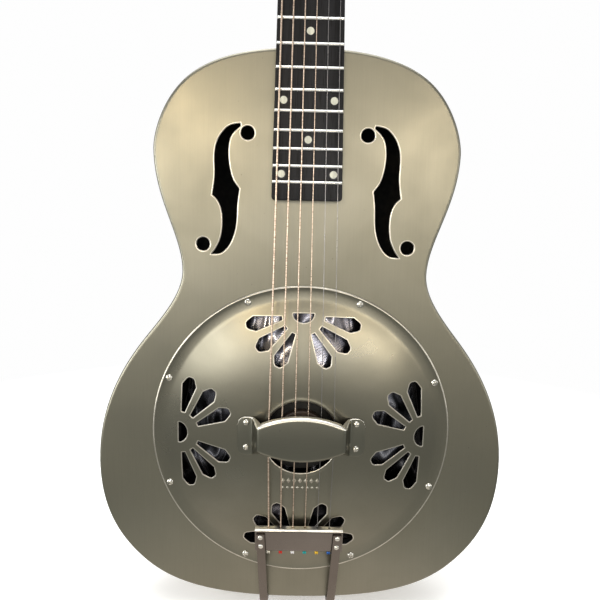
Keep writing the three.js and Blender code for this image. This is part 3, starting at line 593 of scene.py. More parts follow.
def spun_aluminium():
    """Thin bright metal, spun on a former: turning marks, and light and dark bands painted into its colour as
    painted reflections of its dents.
    """
    finish = Finish("spun_aluminium", (0.86, 0.87, 0.93), 0.12, metallic=1)
    marks = finish.rings(SADDLE_Z * MM, 260)
    streak = finish.noise(34, stretch=(1, 1, 0.3), detail=1, distortion=2.2)
    dark, grey, light = (0.03, 0.03, 0.034), (0.16, 0.16, 0.19), (0.75, 0.75, 0.85)
    # painted reflections: dark, grey and light bands in the colour, standing in for what the dents mirror
    painted_reflection_bands = [(0.38, dark), (0.44, grey), (0.48, light), (0.53, grey), (0.57, dark), (0.64, grey)]
    finish.paint(finish.colors(streak, painted_reflection_bands))
    finish.rough(finish.span(marks, 0.14, 0.26, 0, 1))
    finish.bump(marks, 0.05)
    finish.bump(finish.noise(46, stretch=(1, 1, 0.35), detail=1, distortion=0.8), 0.7)
    return finish.material


def wood(name, dark, light, roughness, grain, coat=0.0, pores=0.02, shine=0.5):
    """Straight-grained wood along z, with open pores."""
    finish = Finish(name, light, roughness, coat=coat)
    finish.shader.inputs["Specular IOR Level"].default_value = shine
    figure = finish.noise(70, stretch=(1, 1, grain), detail=8, distortion=0.6)
    fibre = finish.noise(1400, stretch=(1, 1, grain * 0.5), detail=3)
    between = tuple((a + b) / 2 for a, b in zip(dark, light))
    base = finish.colors(figure, [(0.32, dark), (0.5, between), (0.68, light)])
    pore = finish.colors(fibre, [(0.36, (0.55, 0.5, 0.48)), (0.46, (1, 1, 1))])
    finish.paint(finish.multiplied(base, pore))
    finish.rough(finish.span(fibre, roughness + 0.1, roughness))
    finish.bump(fibre, pores)
    return finish.material


def wound_wire():
    """Bronze wire wound round a steel core: fine ridges all along the string, with the valleys between them
    painted darker: painted shade.
    """
    finish = Finish("wound_bronze", (0.58, 0.46, 0.36), 0.3, metallic=1)
    ridge = finish.noise(900, stretch=(0.1, 0.1, 3), detail=1)
    # painted shade: the low parts of the ridges, the valleys between turns, get the darker bronze
    finish.paint(finish.colors(ridge, [(0.35, (0.3, 0.22, 0.17)), (0.55, (0.66, 0.53, 0.42))]))
    finish.rough(finish.span(ridge, 0.42, 0.28))
    finish.bump(ridge, 0.05)
    return finish.material


def black_lacquer():
    black = (0.008, 0.008, 0.009)
    finish = Finish("black_lacquer", black, 0.12, coat=0.6)
    haze = finish.noise(40, detail=6)
    finish.paint(finish.colors(haze, [(0.3, black), (0.75, tuple(c * 1.6 + 0.004 for c in black))]))
    finish.rough(finish.span(haze, 0.12, 0.24))
    finish.bump(finish.noise(9, detail=2), 0.1)
    return finish.material


def old_bone(name, color):
    """Bone or shell with short pale flecks."""
    finish = Finish(name, color, 0.35)
    fleck = finish.noise(500, stretch=(1, 1, 0.2), detail=4)
    finish.paint(finish.colors(fleck, [(0.35, tuple(c * 0.72 for c in color)), (0.6, color)]))
    finish.rough(finish.span(fleck, 0.45, 0.3))
    finish.bump(fleck, 0.01)
    return finish.material


def painted_inside_shade():
    """The unpolished inside of the body, painted near black: painted shade where little light reaches, with a
    speckle of dust.
    """
    finish = Finish("inside_painted_shade", (0.012, 0.011, 0.01), 0.85)
    dust = finish.noise(200, detail=5)
    finish.paint(finish.colors(dust, [(0.4, (0.008, 0.008, 0.008)), (0.7, (0.02, 0.019, 0.016))]))
    finish.bump(dust, 0.1)
    return finish.material


ALONG, CROSSWISE = (1, 1, 0.02), (0.04, 1, 1)         # which way a brushed grain runs
NICKEL = aged_nickel("aged_nickel", (0.232, 0.221, 0.175), (0.195, 0.186, 0.144), 0.36, ALONG)
COVER_NICKEL = aged_nickel("cover_nickel", (0.222, 0.212, 0.17), (0.18, 0.172, 0.134), 0.3, (1, 1, 0.2))
REST_NICKEL = aged_nickel("rest_nickel", (0.2, 0.195, 0.158), (0.165, 0.16, 0.128), 0.3, CROSSWISE)
# the sound well's nickel, far darker than the body's: painted shade under the coverplate
WELL_NICKEL_SHADE = aged_nickel("well_nickel_painted_shade", (0.1, 0.095, 0.08), (0.05, 0.046, 0.04), 0.5, ALONG)
LEG_NICKEL = aged_nickel("leg_nickel", (0.17, 0.148, 0.13), (0.135, 0.115, 0.1), 0.28, ALONG)
TAIL_NICKEL = aged_nickel("tailpiece_nickel", (0.19, 0.168, 0.15), (0.155, 0.135, 0.12), 0.24, CROSSWISE)
# a brighter metal for the cut edges of the body's holes and of the coverplate: painted highlight
EDGE_HIGHLIGHT = bright_metal("edge_painted_highlight", (0.55, 0.52, 0.45), 0.26)
# a near-white metal for the upward-looking faces of the hand rest's and the cross plate's rolled edges:
# painted highlight
ROLLED_EDGE_HIGHLIGHT = bright_metal("rolled_edge_painted_highlight", (0.86, 0.83, 0.75), 0.28)
# a brighter metal for the coverplate's stamped lozenges: painted highlight
STAMP_HIGHLIGHT = bright_metal("stamped_nickel_painted_highlight", (0.34, 0.32, 0.27), 0.3)
PLAIN_STRING = bright_metal("plain_string", (0.27, 0.26, 0.26), 0.25)
BRIGHT = bright_metal("bright_nickel", (0.66, 0.64, 0.58), 0.16)
STEEL = bright_metal("plain_steel", (0.62, 0.62, 0.63), 0.2)
FRET_METAL = bright_metal("fret_metal", (0.9, 0.9, 0.87), 0.22, mottle=0.05)
BRASS = bright_metal("brass", (0.62, 0.45, 0.2), 0.28, mottle=0.2)
BRONZE = wound_wire()
ALUMINIUM = spun_aluminium()
MAHOGANY = wood("mahogany", (0.055, 0.018, 0.008), (0.16, 0.055, 0.022), 0.32, 0.05, coat=0.5)
EBONY = wood("fretboard_wood", (0.007, 0.007, 0.008), (0.02, 0.02, 0.022), 0.36, 0.04, shine=0.12)
MAPLE = wood("dark_maple", (0.02, 0.012, 0.008), (0.05, 0.03, 0.018), 0.5, 0.1)
PINE = wood("maple_block", (0.42, 0.26, 0.12), (0.62, 0.43, 0.23), 0.6, 0.06)
BONE = old_bone("bone", (0.8, 0.74, 0.58))
PEARL = old_bone("dot_inlay", (0.6, 0.6, 0.5))
LACQUER = black_lacquer()
# near black on the body's inner faces, the sheets' undersides and the cone's middle: painted shade
INSIDE_SHADE = painted_inside_shade()


# ---------- body ----------
OUTLINE = body_outline(20)
RIGHT_HALF = OUTLINE[:len(OUTLINE) // 2 + 1]
OUTLINE_S = np.array([p.y for p in RIGHT_HALF])
OUTLINE_X = np.array([p.x for p in RIGHT_HALF])


def flat_front(x, s):
    return 0.0


def body_top():
    f_hole = anticlockwise([p for edge in F_HOLE_EDGES for p in spline(edge, 5)])
    holes = [f_hole, anticlockwise(mirrored(f_hole))]
    holes += [circle(side * x, s, F_DOT_RADIUS, 36) for x, s in F_DOTS for side in (-1, 1)]
    holes.append(circle(0, 0, WELL_OPENING, 96))
    sheet = pierced_sheet(OUTLINE, holes, flat_front, SHEET, 0.65, BODY_EDGE).moved(FRONT)
    make("body_top_skin", sheet, [NICKEL, INSIDE_SHADE, EDGE_HIGHLIGHT], replaces=["body_top"])


def body_side():
    low = TOP_Y - BACK_Y + BACK_CROWN + BODY_EDGE
    heights = [-BODY_EDGE] + [low + (-BODY_EDGE - low) * (1 - k / 10) for k in range(1, 11)]
    shape = Shape()
    for loop, flip, mark in ((OUTLINE, True, 0), (offset(OUTLINE, -SHEET), False, 1)):
        shape.part(skin([[Vector((p.x, p.y, h)) for p in loop] for h in heights], caps=False, flip=flip),
                   FRONT, mark)
    make("body_side_band", shape, [NICKEL, INSIDE_SHADE], replaces=["body_rim"])


def body_back():
    """The back, slightly crowned. It is drawn from behind, with z out of the body's back."""
    middle = (BODY_TOP_S + BODY_TAIL_S) / 2
    reach = (BODY_TOP_S - BODY_TAIL_S) / 2

    def crown(x, s):
        u = min(abs(x) / max(float(np.interp(s, OUTLINE_S, OUTLINE_X)), 1), 1)
        v = min(abs(s - middle) / reach, 1)
        return BACK_CROWN * (1 - u ** 2.4) * (1 - v ** 4)

    fill = [Vector((x, s)) for x in range(-180, 181, 9) for s in range(-156, 320, 9)]
    behind = Matrix(((-1, 0, 0, 0), (0, 0, 1, BACK_Y - BACK_CROWN), (0, 1, 0, SADDLE_Z), (0, 0, 0, 1)))
    sheet = pierced_sheet(OUTLINE, [], crown, SHEET, 0.5, BODY_EDGE, fill).moved(behind)
    make("body_back_skin", sheet, [NICKEL, INSIDE_SHADE], replaces=["body_back"])


# ---------- coverplate, well and cone ----------
def cover_surface(x, s):
    """The coverplate's height: a dome that eases into a flat rim, a bead round its opening, a raised lip."""
    radius = math.hypot(x, s)
    share = max(radius - COVER_OPENING, 0) / (DOME_FOOT_RADIUS - COVER_OPENING)
    dome = (DOME_TOP_HEIGHT - COVER_RIM_TOP) * (1 - share * share)
    dome = (dome + math.sqrt(dome * dome + DOME_FOOT_EASE)) / 2
    bead = 0.5 * math.exp(-((radius - COVER_OPENING - 1.2) / 1.1) ** 2)
    lip = 0.45 * math.exp(-((radius - COVER_RADIUS + 1.2) / 1.3) ** 2)
    return COVER_RIM_TOP + dome + bead + lip


def fan_holes(turn):
    """A half-round hole with six petals spread round it, on one side of the coverplate."""
    half_round = [Vector((FAN_D_HALF_WIDTH * math.cos(a), FAN_CHORD_RADIUS + FAN_D_DEPTH * math.sin(a)))
                  for a in (math.pi * (1 + k / 14) for k in range(15))]
    holes = [rounded_corners(half_round, 0.7, 2)]
    for degrees in PETAL_ANGLES:
        a = math.radians(degrees)
        along = Vector((math.cos(a), -math.sin(a)))
        across = Vector((math.sin(a), math.cos(a)))
        outline = PETAL_OUTLINE + [(d, -w) for d, w in reversed(PETAL_OUTLINE)]
        petal = [Vector((0, FAN_CHORD_RADIUS)) + along * d + across * w for d, w in outline]
        holes.append(finer(rounded_corners(petal, 0.15, 1), 4))
    spin = Matrix.Rotation(turn, 2)
    return [anticlockwise([spin @ p for p in hole]) for hole in holes]


def coverplate():
    holes = [circle(0, 0, COVER_OPENING, 96)]
    for quarter in range(4):
        holes += fan_holes(quarter * math.pi / 2)
    fill = []
    radii = [COVER_OPENING + 1.6 + 0.8 * k for k in range(5)] + [38.5 + 3.2 * k for k in range(23)]
    radii += [110.4 + 0.8 * k for k in range(11)] + [121, 123, 124.4, 125.2, 126]
    for k, radius in enumerate(radii):
        count = 180 if radius > 60 else 110
        stagger = Matrix.Rotation((k + 1) % 2 * math.pi / count, 2)
        fill += [stagger @ p for p in circle(0, 0, radius, count)]
    sheet = pierced_sheet(circle(0, 0, COVER_RADIUS, 180), holes, cover_surface, 1, 0.35, 1.1, fill)
    make("coverplate_pressing", sheet.moved(FRONT), [COVER_NICKEL, INSIDE_SHADE, EDGE_HIGHLIGHT],
         replaces=["coverplate"])


def cone_and_well():
    """The shelf that carries the cone, and the cone: rippled, with a turned rim and a flat top."""
    out, low = WELL_OPENING, -22.3
    well = [(out, -1.2), (out, low + 0.5), (out - 0.6, low), (107, low), (107, low - 1), (out + 0.4, low - 1),
            (out + 1, low - 0.4), (out + 1, -1.2)]
    # the well in the darkened nickel: painted shade
    make("sound_well", one(turned(well[::-1], 96), FRONT), WELL_NICKEL_SHADE, replaces=["cone_well"])
    upper = [(118, -21.2), (112.5, -21.2)]
    for k in range(41):
        t = k / 40
        ripple = 0.35 * math.sin(t * 26) * min(1, 6 * (1 - t))
        upper.append((110 - 83 * t, 20.9 * t - 20.2 + ripple))
    upper += [(24, 1.4), (2, 1.4)]
    under = [(r, h - 0.8) for r, h in reversed(upper)]
    cone = make("spun_cone", one(turned(upper + under + upper[:1], 120), FRONT), [ALUMINIUM, INSIDE_SHADE],
                replaces=["cone"])
    # the cone's middle, seen through the opening, gets the near-black inside colour: painted shade
    for face in cone.data.polygons:
        if math.hypot(face.center.x, face.center.z - SADDLE_Z * MM) < SHADED_CONE_RADIUS * MM:
            face.material_index = 1


def slotted_edge(number, spread, gap, height, depth, slope):
    """The top of a blade at one string: down into the string's slot and up again."""
    x = string_x(number, spread)
    half = STRING_RADII[number - 1] + gap
    return vectors((x + half + slope, height), (x + half, height - depth), (x - half, height - depth),
                   (x - half - slope, height))


def biscuit_and_saddle():
    low, high, out = 1.8, 9.8, BISCUIT_RADIUS
    disc = [(0, low), (out - 0.6, low), (out, low + 0.6), (out, high - 1), (out - 1, high), (0, high)]
    make("biscuit_disc", one(turned(disc, 64), FRONT), MAPLE, replaces=["biscuit"])
    half = SADDLE_HALF_LENGTH
    top = vectors((half, high + 0.1), (half, SADDLE_TOP))
    for number in range(1, 7):
        top += slotted_edge(number, SADDLE_SPREAD, 0.05, SADDLE_TOP + 0.4, 0.4, 0.3)
    top += vectors((-half, SADDLE_TOP), (-half, high + 0.1))
    blade = prism(anticlockwise(top), -1.5, 1.5, 0.25, 2)
    make("saddle_blade", one(blade, FRONT @ UPRIGHT), MAPLE, replaces=["saddle"])


# ---------- screws ----------
def cross_head(radius, height):
    """A domed screw head with a cross recess, standing on z = 0."""
    arm, width, steep = radius * 0.62, radius * 0.17, math.radians(66)
    quarter = vectors((arm, -width), (arm, width), (width, width))
    cross = [Matrix.Rotation(k * math.pi / 2, 2) @ p for k in range(4) for p in quarter]
    points, rise = [], []
    for k in range(5):
        turn = k / 5 * steep
        points += circle(0, 0, radius * math.cos(turn) ** 0.8, 24)
        rise += [height * math.sin(turn) / math.sin(steep)] * 24
    start = len(points)
    points += cross
    rise += [height] * 12
    edges = [(i, (i + 1) % 24) for i in range(24)] + [(start + i, start + (i + 1) % 12) for i in range(12)]
    found = delaunay_2d_cdt(points, edges, [], 0, 1e-6)
    centres = np.array([tuple(sum((found[0][i] for i in f), Vector((0, 0))) / 3) for f in found[2]])
    keep = ~inside(centres, cross)
    shape = Shape()
    top = [(p.x, p.y, rise[found[3][i][0]]) for i, p in enumerate(found[0])]
    shape.add(top, [tuple(f) for f, kept in zip(found[2], keep) if kept])
    wall = [[Vector((p.x, p.y, height)) for p in cross],
            [Vector((p.x * 0.75, p.y * 0.75, height * 0.25)) for p in cross]]
    shape.part(skin(wall, caps=False))
    shape.add(wall[1], [tuple(range(12))])
    skirt = [[Vector((p.x, p.y, h)) for p in circle(0, 0, radius, 24)] for h in (0, -0.3)]
    return shape.part(skin(skirt, caps=False, flip=True))


def put_screw(name, place, radius, height, replaces=(), stem=0):
    spot = place @ Matrix.Rotation(random.uniform(0, 1.5), 4, "Z")
    shape = cross_head(radius, height)
    shape.moved(spot)
    if stem:
        shape.part(turned([(0, -stem), (1, -stem + 1), (1.3, -0.3), (radius, -0.3)], 16), spot)
    make(name, shape, BRIGHT, replaces=replaces)


def cover_screws():
    for i in range(COVER_SCREW_COUNT):
        turn = 2 * math.pi * (i + 0.5) / COVER_SCREW_COUNT
        x, s = COVER_SCREW_CIRCLE * math.cos(turn), COVER_SCREW_CIRCLE * math.sin(turn)
        put_screw(f"cover_screw_{i + 1}_head", on_front(x, s, COVER_RIM_TOP), 3, 1.6,
                  [f"cover_screw_{i + 1}"], stem=9)


# ---------- hand rest ----------
REST_TOP = 34.2
REST_TAB_TOP = 13.9
REST_HALF_LENGTH = 54
REST_CORNER = 7
REST_SHEET = 1.6
REST_SCREWS = [(46.3, 13.2), (46.3, -8.5)]


def paint_upper_edge_highlight(piece):
    """Gives the second material, a brighter metal, to the faces that look up and forward: painted highlight.
    """
    for face in piece.data.polygons:
        if face.normal.z > 0.14 and face.normal.y < 0.3:
            face.material_index = 1


def handrest_line():
    """The hand rest seen from its end: x and height, from foot to foot in short steps."""
    knee = vectors((36.2, REST_TOP), (41, REST_TAB_TOP), (REST_HALF_LENGTH, REST_TAB_TOP))
    right = rounded_line(vectors((0, REST_TOP), (18, REST_TOP)) + knee, 3.6, 8)
    spaced = []
    for a, b in zip(right, right[1:]):
        count = max(1, round((b - a).length / 1.6))
        spaced += [a.lerp(b, k / count) for k in range(count)]
    spaced.append(right[-1])
    return mirrored(spaced[:0:-1]) + spaced


def handrest_section(x, drop):
    """The sheet's cut at x: bowed long edges that roll under. drop is 0 on the top and 1 on a foot."""
    bulge = 8.4 * max(1 - (x / 37) ** 2, 0)
    past = max(x - (REST_HALF_LENGTH - REST_CORNER), 0)
    corner = REST_CORNER - math.sqrt(max(REST_CORNER ** 2 - past ** 2, 0))
    roll = 2.6 * (1 - drop) ** 0.5 + 0.55
    lip = 2.2 * (1 - drop)
    outer = []
    for edge, way in ((-5.2 - bulge - 10.2 * drop + corner, -1), (16.3 + bulge + 1.5 * drop - corner, 1)):
        side = [Vector((edge - way * roll * (1 - math.sin(t)), -roll * (1 - math.cos(t))))
                for t in quarter_turn(6)]
        side.append(Vector((edge, -roll - lip - 0.01)))
        outer += side if way > 0 else side[::-1]
    inner = []
    for k, point in enumerate(outer):
        along = direction(outer, k)
        inner.append(point + Vector((along.y, -along.x)) * min(REST_SHEET, roll + lip))
    return outer + inner[::-1]


def handrest():
    """A sheet bridge over the strings: rolled long edges, and a flat foot at each end."""
    line = handrest_line()
    rings = []
    for i, point in enumerate(line):
        along = direction(line, i)
        drop = min(max((REST_TOP - point.y) / (REST_TOP - REST_TAB_TOP), 0), 1)
        rings.append([Vector((point.x - along.y * d, s, point.y + along.x * d))
                      for s, d in handrest_section(abs(point.x), drop)])
    rest = make("handrest_bridge", one(skin(rings, flip=True), FRONT), [REST_NICKEL, ROLLED_EDGE_HIGHLIGHT],
                replaces=["handrest"], sharp=40, outward=True)
    paint_upper_edge_highlight(rest)
    for side, word in ((-1, "left"), (1, "right")):
        for k, (x, s) in enumerate(REST_SCREWS):
            put_screw(f"handrest_screw_{word}_{k + 1}", on_front(side * x, s, REST_TAB_TOP), 2.7, 1.5, stem=4)


def cover_ornament():
    """Two plain rows of stamped lozenges below the opening, in a brighter metal than the coverplate: painted
    highlight.
    """
    shape = Shape()
    for row, count, gap, wide, tall in ((-38.6, 7, 4.9, 1.9, 2.6), (-44.9, 8, 4.2, 1.5, 1.5)):
        for k in range(count):
            x = (k - (count - 1) / 2) * gap
            corners = ((x + wide, row), (x, row + tall), (x - wide, row), (x, row - tall))
            base = [Vector((a, b, cover_surface(a, b) - 0.05)) for a, b in corners]
            tip = Vector((x, row, cover_surface(x, row) + 0.7))
            shape.add(base + [tip], [(0, 1, 4), (1, 2, 4), (2, 3, 4), (3, 0, 4), (3, 2, 1, 0)], FRONT)
    make("cover_ornament", shape, STAMP_HIGHLIGHT, sharp=20)


# ---------- tailpiece ----------
def tail_height(s):
    return ANCHOR_TOP_H + TAIL_SLOPE * (s - ANCHOR_TOP_S)


def side_point(s, h):
    return Vector((TOP_Y - h, s + SADDLE_Z))


def string_x(number, spread):
    return spread * (0.5 - (number - 1) / 5)


ANCHOR_SHEET = 1.6
LIP_HOLE_H = 17.2
BALL_H = tail_height(ANCHOR_LOW_S) - 3.6
BALL_RADIUS = 1.9
HINGE_Y = -24
HINGE_Z = 5.5
HINGE = Matrix.Translation((0, HINGE_Y, HINGE_Z)) @ ACROSS
EYE_RADIUS = 3.2
PIN_RADIUS = 1.6
LEG_SHEET = 1.6
LEG_LIFT = 1.9


def carve(piece, cutters):
    """Cuts away a shape from a piece's mesh."""
    mesh = bpy.data.meshes.new("cutter")
    mesh.from_pydata([tuple(p * MM) for p in cutters.points], [], cutters.faces)
    tool = bpy.data.objects.new("cutter", mesh)
    bpy.context.scene.collection.objects.link(tool)
    modifier = piece.modifiers.new("carve", "BOOLEAN")
    modifier.operation = "DIFFERENCE"
    modifier.solver = "EXACT"
    modifier.use_self = True
    modifier.object = tool
    bpy.context.view_layer.update()
    result = bpy.data.meshes.new_from_object(piece.evaluated_get(bpy.context.evaluated_depsgraph_get()))
    piece.modifiers.clear()
    piece.data = result
    bpy.data.objects.remove(tool)
    result.shade_smooth()
    result.set_sharp_from_angle(angle=math.radians(SHARP_DEGREES))


def tail_anchor():
    """The cross plate: a sheet with both long edges bent down, and a hole for each string in both."""
    places = [(ANCHOR_TOP_S + 0.5, ANCHOR_TOP_H - 6), (ANCHOR_TOP_S + 0.5, ANCHOR_TOP_H),
              (ANCHOR_LOW_S, tail_height(ANCHOR_LOW_S)), (ANCHOR_LOW_S, tail_height(ANCHOR_LOW_S) - 6)]
    line = rounded_line([side_point(s, h) for s, h in places], 1.9, 6)
    shape = one(sweep_across(line, ANCHOR_SHEET, -ANCHOR_HALF_WIDTH, ANCHOR_HALF_WIDTH))
    anchor = make("tail_anchor_plate", shape, [TAIL_NICKEL, ROLLED_EDGE_HIGHLIGHT],
                  replaces=["tail_anchor"], outward=True)
    holes = Shape()
    for number in range(1, 7):
        x = string_x(number, ANCHOR_SPREAD)
        for s, h in ((ANCHOR_TOP_S, LIP_HOLE_H), (ANCHOR_LOW_S, BALL_H)):
            holes.part(plug(1.15, -3, 4, 16), Matrix.Translation((x, TOP_Y - h, s + SADDLE_Z)))
    carve(anchor, holes)
    paint_upper_edge_highlight(anchor)


def hinge_eye(x0, x1):
    """A tube round the hinge pin, from x0 to x1."""
    hole, out, edge = PIN_RADIUS + 0.15, EYE_RADIUS, 0.3
    profile = [(hole, x0), (out - edge, x0), (out, x0 + edge), (out, x1 - edge), (out - edge, x1), (hole, x1),
               (hole, x0)]
    return turned(profile, 32)


def tail_leg(side):
    """A strap from the cross plate down over the tail to the hinge, with two rivets."""
    foot = BODY_TAIL_S - 3.2
    line = [side_point(s, tail_height(s) + LEG_LIFT) for s in (ANCHOR_TOP_S - 2.5, -120, -151)]
    line += [side_point(foot, 3.4), side_point(foot, 0)]
    line += vectors((HINGE_Y - 6, foot + SADDLE_Z), (HINGE_Y, HINGE_Z - EYE_RADIUS + LEG_SHEET / 2))
    inner, outer = LEG_X_TAIL - LEG_HALF_WIDTH, LEG_X_TAIL + LEG_HALF_WIDTH
    shape = one(sweep_across(rounded_line(line, 3, 6), LEG_SHEET, inner, outer, 0.35))
    shape.part(hinge_eye(inner, outer), HINGE)
    rivet = turned([(2.3, -0.4), (2.3, 0.1), (2, 0.7), (1.3, 1.15), (0.6, 1.35), (0, 1.4)], 24)
    for s in (-85.5, -94.5):
        place = on_front(LEG_X_TAIL, s, tail_height(s) + LEG_LIFT + LEG_SHEET / 2)
        shape.part(rivet, place @ about_x(math.atan(TAIL_SLOPE)), mark=1)
    lean = (LEG_X_TOP - LEG_X_TAIL) / (ANCHOR_TOP_S - BODY_TAIL_S)
    for point in shape.points:
        climb = max(point.z - SADDLE_Z - BODY_TAIL_S, 0)
        point.x = side * (point.x + lean * climb)
    name = "tail_leg_left" if side < 0 else "tail_leg_right"
    make(name + "_strap", shape, [LEG_NICKEL, BRIGHT], replaces=[name], outward=True)


def tail_hinge():
    """The pin, and the plate that is screwed to the tail and rolled round the pin."""
    pin = [(0, -37), (1.2, -37), (PIN_RADIUS, -36.5), (PIN_RADIUS, 36.5), (1.2, 37), (0, 37)]
    make("tail_hinge_pin_rod", one(turned(pin, 32), HINGE), STEEL, replaces=["tail_hinge_pin"])
    half, tail_z, knee_y = 24, BODY_TAIL_S + SADDLE_Z - 0.3, HINGE_Y + EYE_RADIUS - 0.8
    shape = one(hinge_eye(-half, half), HINGE)
    line = vectors((knee_y, HINGE_Z), (knee_y, tail_z - 0.8), (17, tail_z - 0.8))
    shape.part(sweep_across(rounded_line(line, 1.5, 5), 1.6, -half, half))
    bracket = make("tail_bracket_plate", shape, LEG_NICKEL, replaces=["tail_bracket"],
                   outward=True)
    carve(bracket, one(plug(3, 5, 14, 24)))
    for k, (x, y) in enumerate(((-18, 6), (18, 6), (-18, -10), (18, -10))):
        put_screw(f"bracket_screw_{k + 1}", Matrix.Translation((x, y, tail_z - 1.6)) @ OVER, 2.6, 1.3)


def strap_button(name, place, replaces):
    profile = [(0, 0), (4.6, 0.1), (6, 0.3), (6.7, 0.8), (7, 1.4), (6.8, 2.1), (6, 2.8), (4.7, 3.5), (4, 4.6),
               (3.8, 5.8), (4, 7), (4.6, 8), (5, 8.4), (2.1, 8.4), (2.1, 22), (0, 24)]
    make(name, one(turned(profile, 48), place), BRIGHT, replaces=replaces, outward=True)


# ---------- neck ----------
# height up the neck, depth, and half width behind
NECK_DEPTHS = [(317, 74, 20), (324, 70, 20.5), (331, 60, 21.5), (339, 46, 23), (348, 34, 24.4),
               (359, 26, 25.2), (373, 21.5, 25.2), (392, 19.6, 24.9), (440, 18.8, 24.2),
               (540, 17.2, 22.6), (622, 15.8, 21.4), (634, 16.4, 21.5)]


def board_half_width(z):
    return BOARD_NUT_HALF_WIDTH + (SCALE_LENGTH - z) * BOARD_TAPER


HEAD_FLARE = 19
HEAD_HALF_WIDTH = 36.5
HEAD_CORNER = 6.5
HEAD_CORNER_Z = 166


def head_half_width(z):
    """Half the headstock's width at a height above its foot."""
    if z < HEAD_FLARE:
        t = z / HEAD_FLARE
        return 21.5 * (1 - t) ** 2 + 23 * 2 * t * (1 - t) + 31 * t * t
    return 31 + 5.5 * min((z - HEAD_FLARE) / (HEAD_CORNER_Z - HEAD_FLARE), 1)


def head_arch(x):
    return 4 * (1 - (x / HEAD_HALF_WIDTH) ** 2)


def signed_power(value, power):
    return math.copysign(abs(value) ** power, value)


def section(half, bottom, front, depth, power, z, count=28):
    """A cut across the neck: flat in front, rounded behind. A low power gives squarer shoulders."""
    ring = []
    for i in range(count):
        turn = math.pi * i / (count - 1)
        back = math.sin(turn) ** power if 0 < i < count - 1 else 0
        across = signed_power(math.cos(turn), power)
        ring.append(Vector((half * across * (1 - (1 - bottom / half) * back), front + depth * back, z)))
    return ring


def neck_rings():
    """Cuts from the heel up the neck, and then up the headstock to its arched end."""
    rings = []
    body_end = BODY_TOP_S + SADDLE_Z + 0.15
    for z, depth, bottom in spline(NECK_DEPTHS, 5, ends=True):
        ring = section(board_half_width(z) - 0.2, bottom, BOARD_THICKNESS + 0.05, depth, 0.75, z)
        ring = [NECK @ p for p in ring]
        for p in ring:
            if z < 330 and p.y > TOP_Y:
                p.z = max(p.z, body_end)
        rings.append(ring)
    for z in (4, 7, 10, 13, 16, 19, 30, 60, 100, 140, HEAD_CORNER_Z):
        t = min(z / HEAD_FLARE, 1)
        half = head_half_width(z)
        depth = 17.5 + (HEAD_THICKNESS - 17.5) * t
        ring = section(half, half, 0, depth, 0.75 + (0.12 - 0.75) * t ** 0.7, z)
        rings.append([HEAD @ p for p in ring])
    for turn in quarter_turn(6)[1:]:
        half = HEAD_HALF_WIDTH - HEAD_CORNER * (1 - math.cos(turn))
        ring = section(half, half, 0, HEAD_THICKNESS, 0.12, HEAD_CORNER_Z + 6 * math.sin(turn))
        for p in ring:
            p.z += head_arch(p.x) * math.sin(turn)
        rings.append([HEAD @ p for p in ring])
    return rings


POST_HEIGHTS = (42, 84, 126)
POSTS = [(n, 1, POST_HEIGHTS[n - 1]) for n in (1, 2, 3)] + [(n, -1, POST_HEIGHTS[6 - n]) for n in (4, 5, 6)]
POST_X = 22
POST_BORE = 3.6
POST_RADIUS = 3


def neck():
    rings = neck_rings()
    tip = rings[-1]
    back_to_head = HEAD.inverted()
    flat = []
    for point in tip:
        local = back_to_head @ point
        flat.append(HEAD @ Vector((local.x, 0, local.z)))
    shape = Shape().part(skin(rings, caps=False))
    shape.part(skin([tip, flat], around=False, caps=False))
    shape.add(rings[0], [tuple(range(len(tip)))[::-1]])
    piece = make("neck_wood", shape, MAHOGANY, replaces=["neck"], outward=True)
    cutters = Shape()
    for _, side, z in POSTS:
        cutters.part(plug(POST_BORE, -8, 30, 24), on_head(side * POST_X, 0, z) @ BEHIND)
    cutters.part(prism(rounded_corners(rectangle(-5.5, 5.5, -3, 26), 3), -6, 14), HEAD @ UPRIGHT)
    carve(piece, cutters)


def neck_tongue():
    """The wood under the fretboard where it runs over the body: flat below, sloped with the board above."""
    tongue = one(prism(rounded_corners(rectangle(-25.2, 25.2, 208, 326), 3), 0.3, 10, 0.7))
    for point in tongue.points:
        if point.z > 5:
            point.z += BOARD_HEIGHT - BOARD_SLOPE * point.y - BOARD_THICKNESS - 10.1
    make("neck_tongue", tongue.moved(FRONT), MAHOGANY, outward=True)


# ---------- fretboard ----------
def fret_place(number):
    return SCALE_LENGTH / 2 ** (number / 12)


def fretboard():
    right = vectors((board_half_width(BOARD_END), BOARD_END), (BOARD_NUT_HALF_WIDTH, SCALE_LENGTH))
    loop = anticlockwise(right + mirrored(right)[::-1])
    board = prism(finer(rounded_corners(loop, 3, 5), 30), -BOARD_THICKNESS, 0, 0.5)
    make("fretboard_slab", one(board, NECK @ UPRIGHT), EBONY, replaces=["fretboard"])


def frets():
    """Half-round wires whose ends are filed down."""
    shape = Shape()
    for number in range(1, FRET_COUNT + 1):
        z = fret_place(number)
        half = board_half_width(z) - 0.1
        ends = [(half, 0.1), (half - 0.5, 0.8), (half - 1.3, 1)]
        turns = [k / 8 * math.pi for k in range(9)]
        rings = []
        for x, size in [(-x, size) for x, size in ends] + ends[::-1]:
            rings.append([Vector((x, 0.05 - FRET_RADIUS * size * math.sin(t), z + FRET_RADIUS * math.cos(t)))
                          for t in turns])
        shape.part(skin(rings, flip=True), NECK)
    make("frets", shape, FRET_METAL, outward=True)


